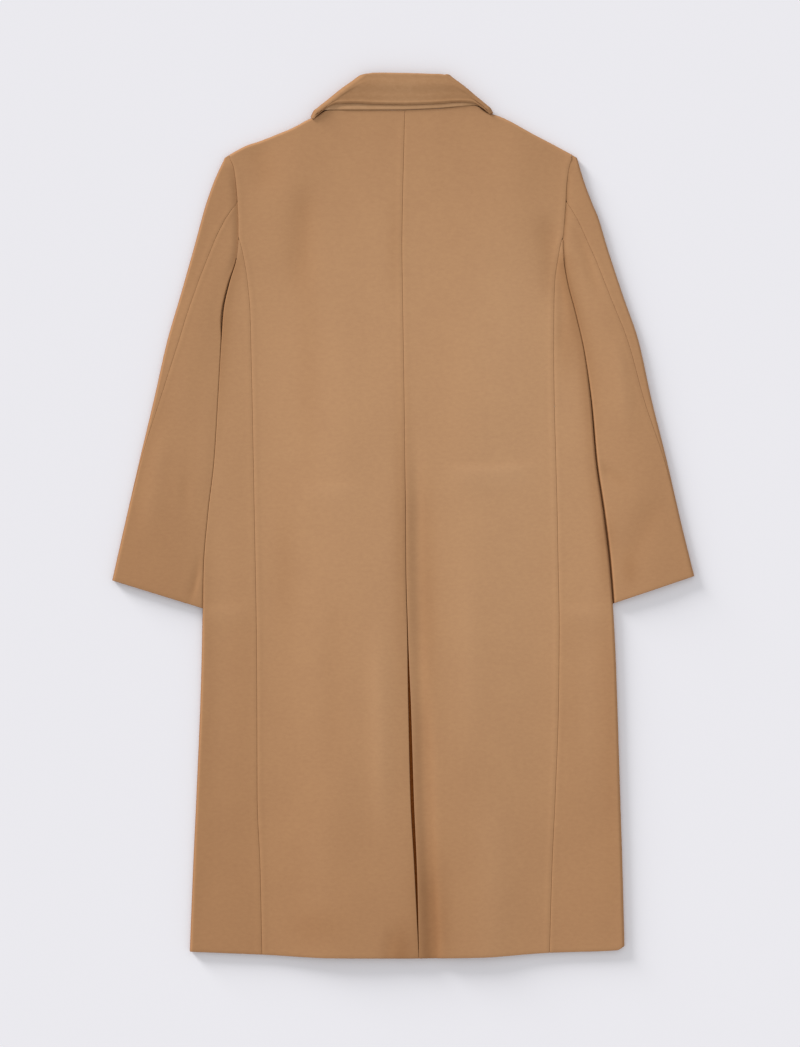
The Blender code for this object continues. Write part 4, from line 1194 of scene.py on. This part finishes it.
def wool(name, dark, base, light):
    material, tree, shader = new_material(name, WOOL)
    where = add_node(tree, "ShaderNodeTexCoord").outputs["Object"]
    stretched = add_node(tree, "ShaderNodeMapping", inputs={
        "Vector": where, "Scale": (1 / FLECK_LENGTH, 1 / FLECK_HEIGHT, 1 / FLECK_HEIGHT)})
    flecks = add_noise(tree, stretched.outputs["Vector"], 1, Detail=3.0, Roughness=0.6)
    nap = add_noise(tree, where, NAP_SIZE, Detail=2.0)
    clouds = add_noise(tree, where, CLOUD_SIZE, Detail=2.0)
    mixed = 0.0
    for layer, part in ((clouds, CLOUD_SHARE), (nap, NAP_SHARE), (flecks, FLECK_SHARE)):
        mixed = add_node(tree, "ShaderNodeMath", {"operation": "MULTIPLY_ADD"}, {
            0: layer.outputs["Fac"], 1: part, 2: mixed}).outputs[0]
    ramp = add_node(tree, "ShaderNodeValToRGB", inputs={"Fac": mixed})
    stops = ramp.color_ramp.elements
    stops[0].position, stops[0].color = DARK_STOP, linear(dark)
    stops[1].position, stops[1].color = LIGHT_STOP, linear(light)
    stops.new(BASE_STOP).color = linear(base)
    # The painted light and shade of each point multiply the ramp's colour.
    painted_shading = add_node(tree, "ShaderNodeAttribute", {"attribute_name": "painted_shading"})
    warmed_shading = [add_node(tree, "ShaderNodeMath", {"operation": "POWER"}, {
        0: painted_shading.outputs["Fac"], 1: power}).outputs[0] for power in PAINTED_SHADE_POWERS]
    shade_tint = add_node(tree, "ShaderNodeCombineXYZ", inputs=dict(zip("XYZ", warmed_shading)))
    shaded_colour = add_node(tree, "ShaderNodeVectorMath", {"operation": "MULTIPLY"}, {
        0: ramp.outputs["Color"], 1: shade_tint.outputs[0]})
    tree.links.new(shaded_colour.outputs[0], shader.inputs["Base Color"])
    bump = add_node(tree, "ShaderNodeBump", inputs={
        "Strength": NAP_STRENGTH, "Distance": NAP_HEIGHT * MM, "Height": mixed})
    tree.links.new(bump.outputs["Normal"], shader.inputs["Normal"])
    return material


COATING = wool("brushed_wool_coating", "#B98D67", "#BC9069", "#BF936B")
# The collar's coating is a darker copy of the coat's, as painted shade on the rolled collar.
COLLAR_SHADED_COATING = wool("collar_coating_painted_shade", "#AC825C", "#B08660", "#B48A64")
# The underlap's dark brown is painted shade for the depth of the slit.
UNDERLAP_PAINTED_SHADE = wool("underlap_painted_slit_shade", "#824615", "#8A4C18", "#92521C")

# %% [markdown]
# ## Dressing the pieces
#
# Every piece rides on the one body, stands for its own solid and takes its material from the
# table of slots.

# %% Dress the pieces
SLOTS = {"collar": ("collar_coating", COLLAR_SHADED_COATING),
         "vent": ("underlap_coating", UNDERLAP_PAINTED_SHADE)}
for name, piece in PIECES.items():
    kind = name.split("_")[0]
    slot_name, material = SLOTS.get(kind, ("coating", COATING))
    piece.thing.data.materials.clear()
    piece.thing.data.materials.append(material)
    piece.thing.name = name + "_cloth"
    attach(piece.thing, "root")
    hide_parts(name)

# %% [markdown]
# ## Machine stitches
#
# Pressing sinks the thread of a plain seam into its groove, so no stitch shows from a step away,
# but from near they do. A node group lays them along a seam's line: it spaces points evenly on the
# line, stands a short length of thread on each, turned along the line, and joins them.

# %% Thread and stitches
STITCH_PITCH, STITCH_LENGTH = 2.8, 2.2      # millimetres
THREAD_RADIUS, THREAD_DEPTH = 0.14, 0.7     # the depth is from the cloth's face to the thread
TWIST_SIZE, THREAD_SIDES = 0.4, 6
CENTRE_STITCHED, ARM_STITCHED = (8.0, 690.0), (70.0, UNDERARM - 2)      # from depth to depth
SIDE_STITCHED, SLEEVE_STITCHED = (SIDE_TOP + 10, HEM_LEVEL - 4), UNDER_SLEEVE_TOP + 12


def sewing_thread():
    material, tree, shader = new_material("sewing_thread", {"Roughness": 0.7})
    where = add_node(tree, "ShaderNodeTexCoord").outputs["Object"]
    twist = add_noise(tree, where, TWIST_SIZE, Detail=1.0)
    ramp = add_node(tree, "ShaderNodeValToRGB", inputs={"Fac": twist.outputs["Fac"]})
    ramp.color_ramp.elements[0].color = linear("#8E6A48")
    ramp.color_ramp.elements[1].color = linear("#B08660")
    tree.links.new(ramp.outputs["Color"], shader.inputs["Base Color"])
    return material


def stitch_group():
    group = bpy.data.node_groups.new("stitches along a seam", "GeometryNodeTree")
    for name, kind in (("Geometry", "Geometry"), ("Pitch", "Float"), ("Length", "Float"),
                       ("Radius", "Float"), ("Material", "Material")):
        group.interface.new_socket(name, in_out="INPUT", socket_type="NodeSocket" + kind)
    group.interface.new_socket("Geometry", in_out="OUTPUT", socket_type="NodeSocketGeometry")
    given = add_node(group, "NodeGroupInput").outputs
    line = add_node(group, "GeometryNodeMeshToCurve", inputs={"Mesh": given["Geometry"]})
    spaced = add_node(group, "GeometryNodeResampleCurve", {"mode": "LENGTH"}, {
        "Curve": line.outputs["Curve"], "Length": given["Pitch"]})
    tangent = add_node(group, "GeometryNodeInputTangent")
    turned = add_node(group, "FunctionNodeAlignRotationToVector", {"axis": "Z"}, {
        "Vector": tangent.outputs["Tangent"]})
    thread = add_node(group, "GeometryNodeMeshCylinder", inputs={
        "Vertices": THREAD_SIDES, "Radius": given["Radius"], "Depth": given["Length"]})
    stitches = add_node(group, "GeometryNodeInstanceOnPoints", inputs={
        "Points": spaced.outputs["Curve"], "Instance": thread.outputs["Mesh"],
        "Rotation": turned.outputs["Rotation"]})
    joined = add_node(group, "GeometryNodeRealizeInstances", inputs={
        "Geometry": stitches.outputs["Instances"]})
    coloured = add_node(group, "GeometryNodeSetMaterial", inputs={
        "Geometry": joined.outputs["Geometry"], "Material": given["Material"]})
    add_node(group, "NodeGroupOutput", inputs={"Geometry": coloured.outputs["Geometry"]})
    return group


def seam_lines():
    """The lines of the seams that show, as arrays of (x, depth, height)."""
    def on_back(side, x, depth):
        return np.stack([x, depth, back_face(side, x, depth)], -1)

    down = np.arange(*CENTRE_STITCHED, ROW_STEP)
    lines = [on_back("left", CENTRE(down), down)]
    for side, sign in SIDES.items():
        down = np.arange(*ARM_STITCHED, ROW_STEP)
        lines.append(on_back(side, sign * EDGE[side](down), down))
        down = np.arange(*SIDE_STITCHED, ROW_STEP)
        x = sign * SIDE_SEAM[side](down)
        lines.append(on_back(side, x, hem_depth(x, down)))
        lines.append(np.array([s.path(s.seam - s.flat_end)[0] for s in sleeve_sections(side)
                               if s.depth > SLEEVE_STITCHED and s.seam < s.flat_end]))
    return lines


lines = [line - (0, 0, THREAD_DEPTH) for line in seam_lines()]
ends = np.cumsum([0] + [len(line) for line in lines])
steps = [(i, i + 1) for start, end in zip(ends, ends[1:]) for i in range(start, end - 1)]
seams = add_object("seam_lines", new_mesh("seam_lines", np.concatenate(lines), steps, []))
sewing = seams.modifiers.new("sewing", "NODES")
sewing.node_group = stitch_group()
given_inputs = {"Pitch": STITCH_PITCH * MM, "Length": STITCH_LENGTH * MM,
                "Radius": THREAD_RADIUS * MM, "Material": sewing_thread()}
for socket in sewing.node_group.interface.items_tree:
    if socket.in_out == "INPUT" and socket.name in given_inputs:
        sewing[socket.identifier] = given_inputs[socket.name]
stitched = applied(seams)
stitched.name = "seam_stitches"
stitches = add_object("seam_stitches", stitched)
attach(stitches, "root")
print("stitches:", len(stitched.polygons), "faces")

# %% [markdown]
# ## Floor, light and camera
#
# The coat lies on a plain pale floor. A broad soft light from the upper left throws the soft shadow
# to the lower right, and an even sky fills the rest. The camera looks straight down through a long
# lens, so that one millimetre is as large at the hem as at the collar.

# %% Floor
HALF_FLOOR = 15.0       # metres
floor_mesh = bpy.data.meshes.new("floor")
floor_mesh.from_pydata([(-HALF_FLOOR, -HALF_FLOOR, 0), (HALF_FLOOR, -HALF_FLOOR, 0),
                        (HALF_FLOOR, HALF_FLOOR, 0), (-HALF_FLOOR, HALF_FLOOR, 0)], [],
                       [(0, 1, 2, 3)])
floor_mesh.materials.append(new_material("pale_floor", {
    "Base Color": linear("#F3F2F7"), "Roughness": 1.0, "Specular IOR Level": 0.0})[0])
floor = add_object("floor", floor_mesh)

# %% Light
SHADOW_RIGHT, SHADOW_DOWN = 3.4, 3.6    # how far the shadow falls, for each millimetre of height
KEY_STRENGTH, KEY_SPREAD = 3.97, 20.0   # the spread is the lamp's width in degrees, as seen
SKY_STRENGTH = 0.674
key = bpy.data.lights.new("key", "SUN")
key.energy, key.angle = KEY_STRENGTH, math.radians(KEY_SPREAD)
falls = Vector((SHADOW_RIGHT, -SHADOW_DOWN, -1))
add_object("key", key).rotation_euler = falls.to_track_quat("-Z", "Y").to_euler()
sky = bpy.data.worlds.new("studio")
sky.use_nodes = True
background = sky.node_tree.nodes["Background"].inputs
background["Color"].default_value = (1, 1, 1, 1)
background["Strength"].default_value = SKY_STRENGTH
bpy.context.scene.world = sky
bpy.context.scene.view_settings.view_transform = "Standard"

# %% Camera, framed as the picture: 800 x 1047 at 1.4 mm each
PIXEL = 1.4                     # millimetres of coat
FRAME_WIDE, FRAME_HIGH = 800, 1047
NAPE_COLUMN, NAPE_ROW = 405.0, 111.0    # where the nape lies in that frame
LENS, SENSOR = 100.0, 36.0
centre_x = (NAPE_X + (FRAME_WIDE / 2 - NAPE_COLUMN) * PIXEL) * MM
centre_y = (NAPE_Y - (FRAME_HIGH / 2 - NAPE_ROW) * PIXEL) * MM
camera = bpy.data.cameras.new("camera")
camera.lens, camera.sensor_width = LENS, SENSOR
camera_object = add_object("camera", camera)
camera_object.location = (centre_x, centre_y, FRAME_HIGH * PIXEL * MM / 2 / (SENSOR / 2 / LENS))
bpy.context.scene.camera = camera_object
print("camera at", [round(value, 3) for value in camera_object.location])
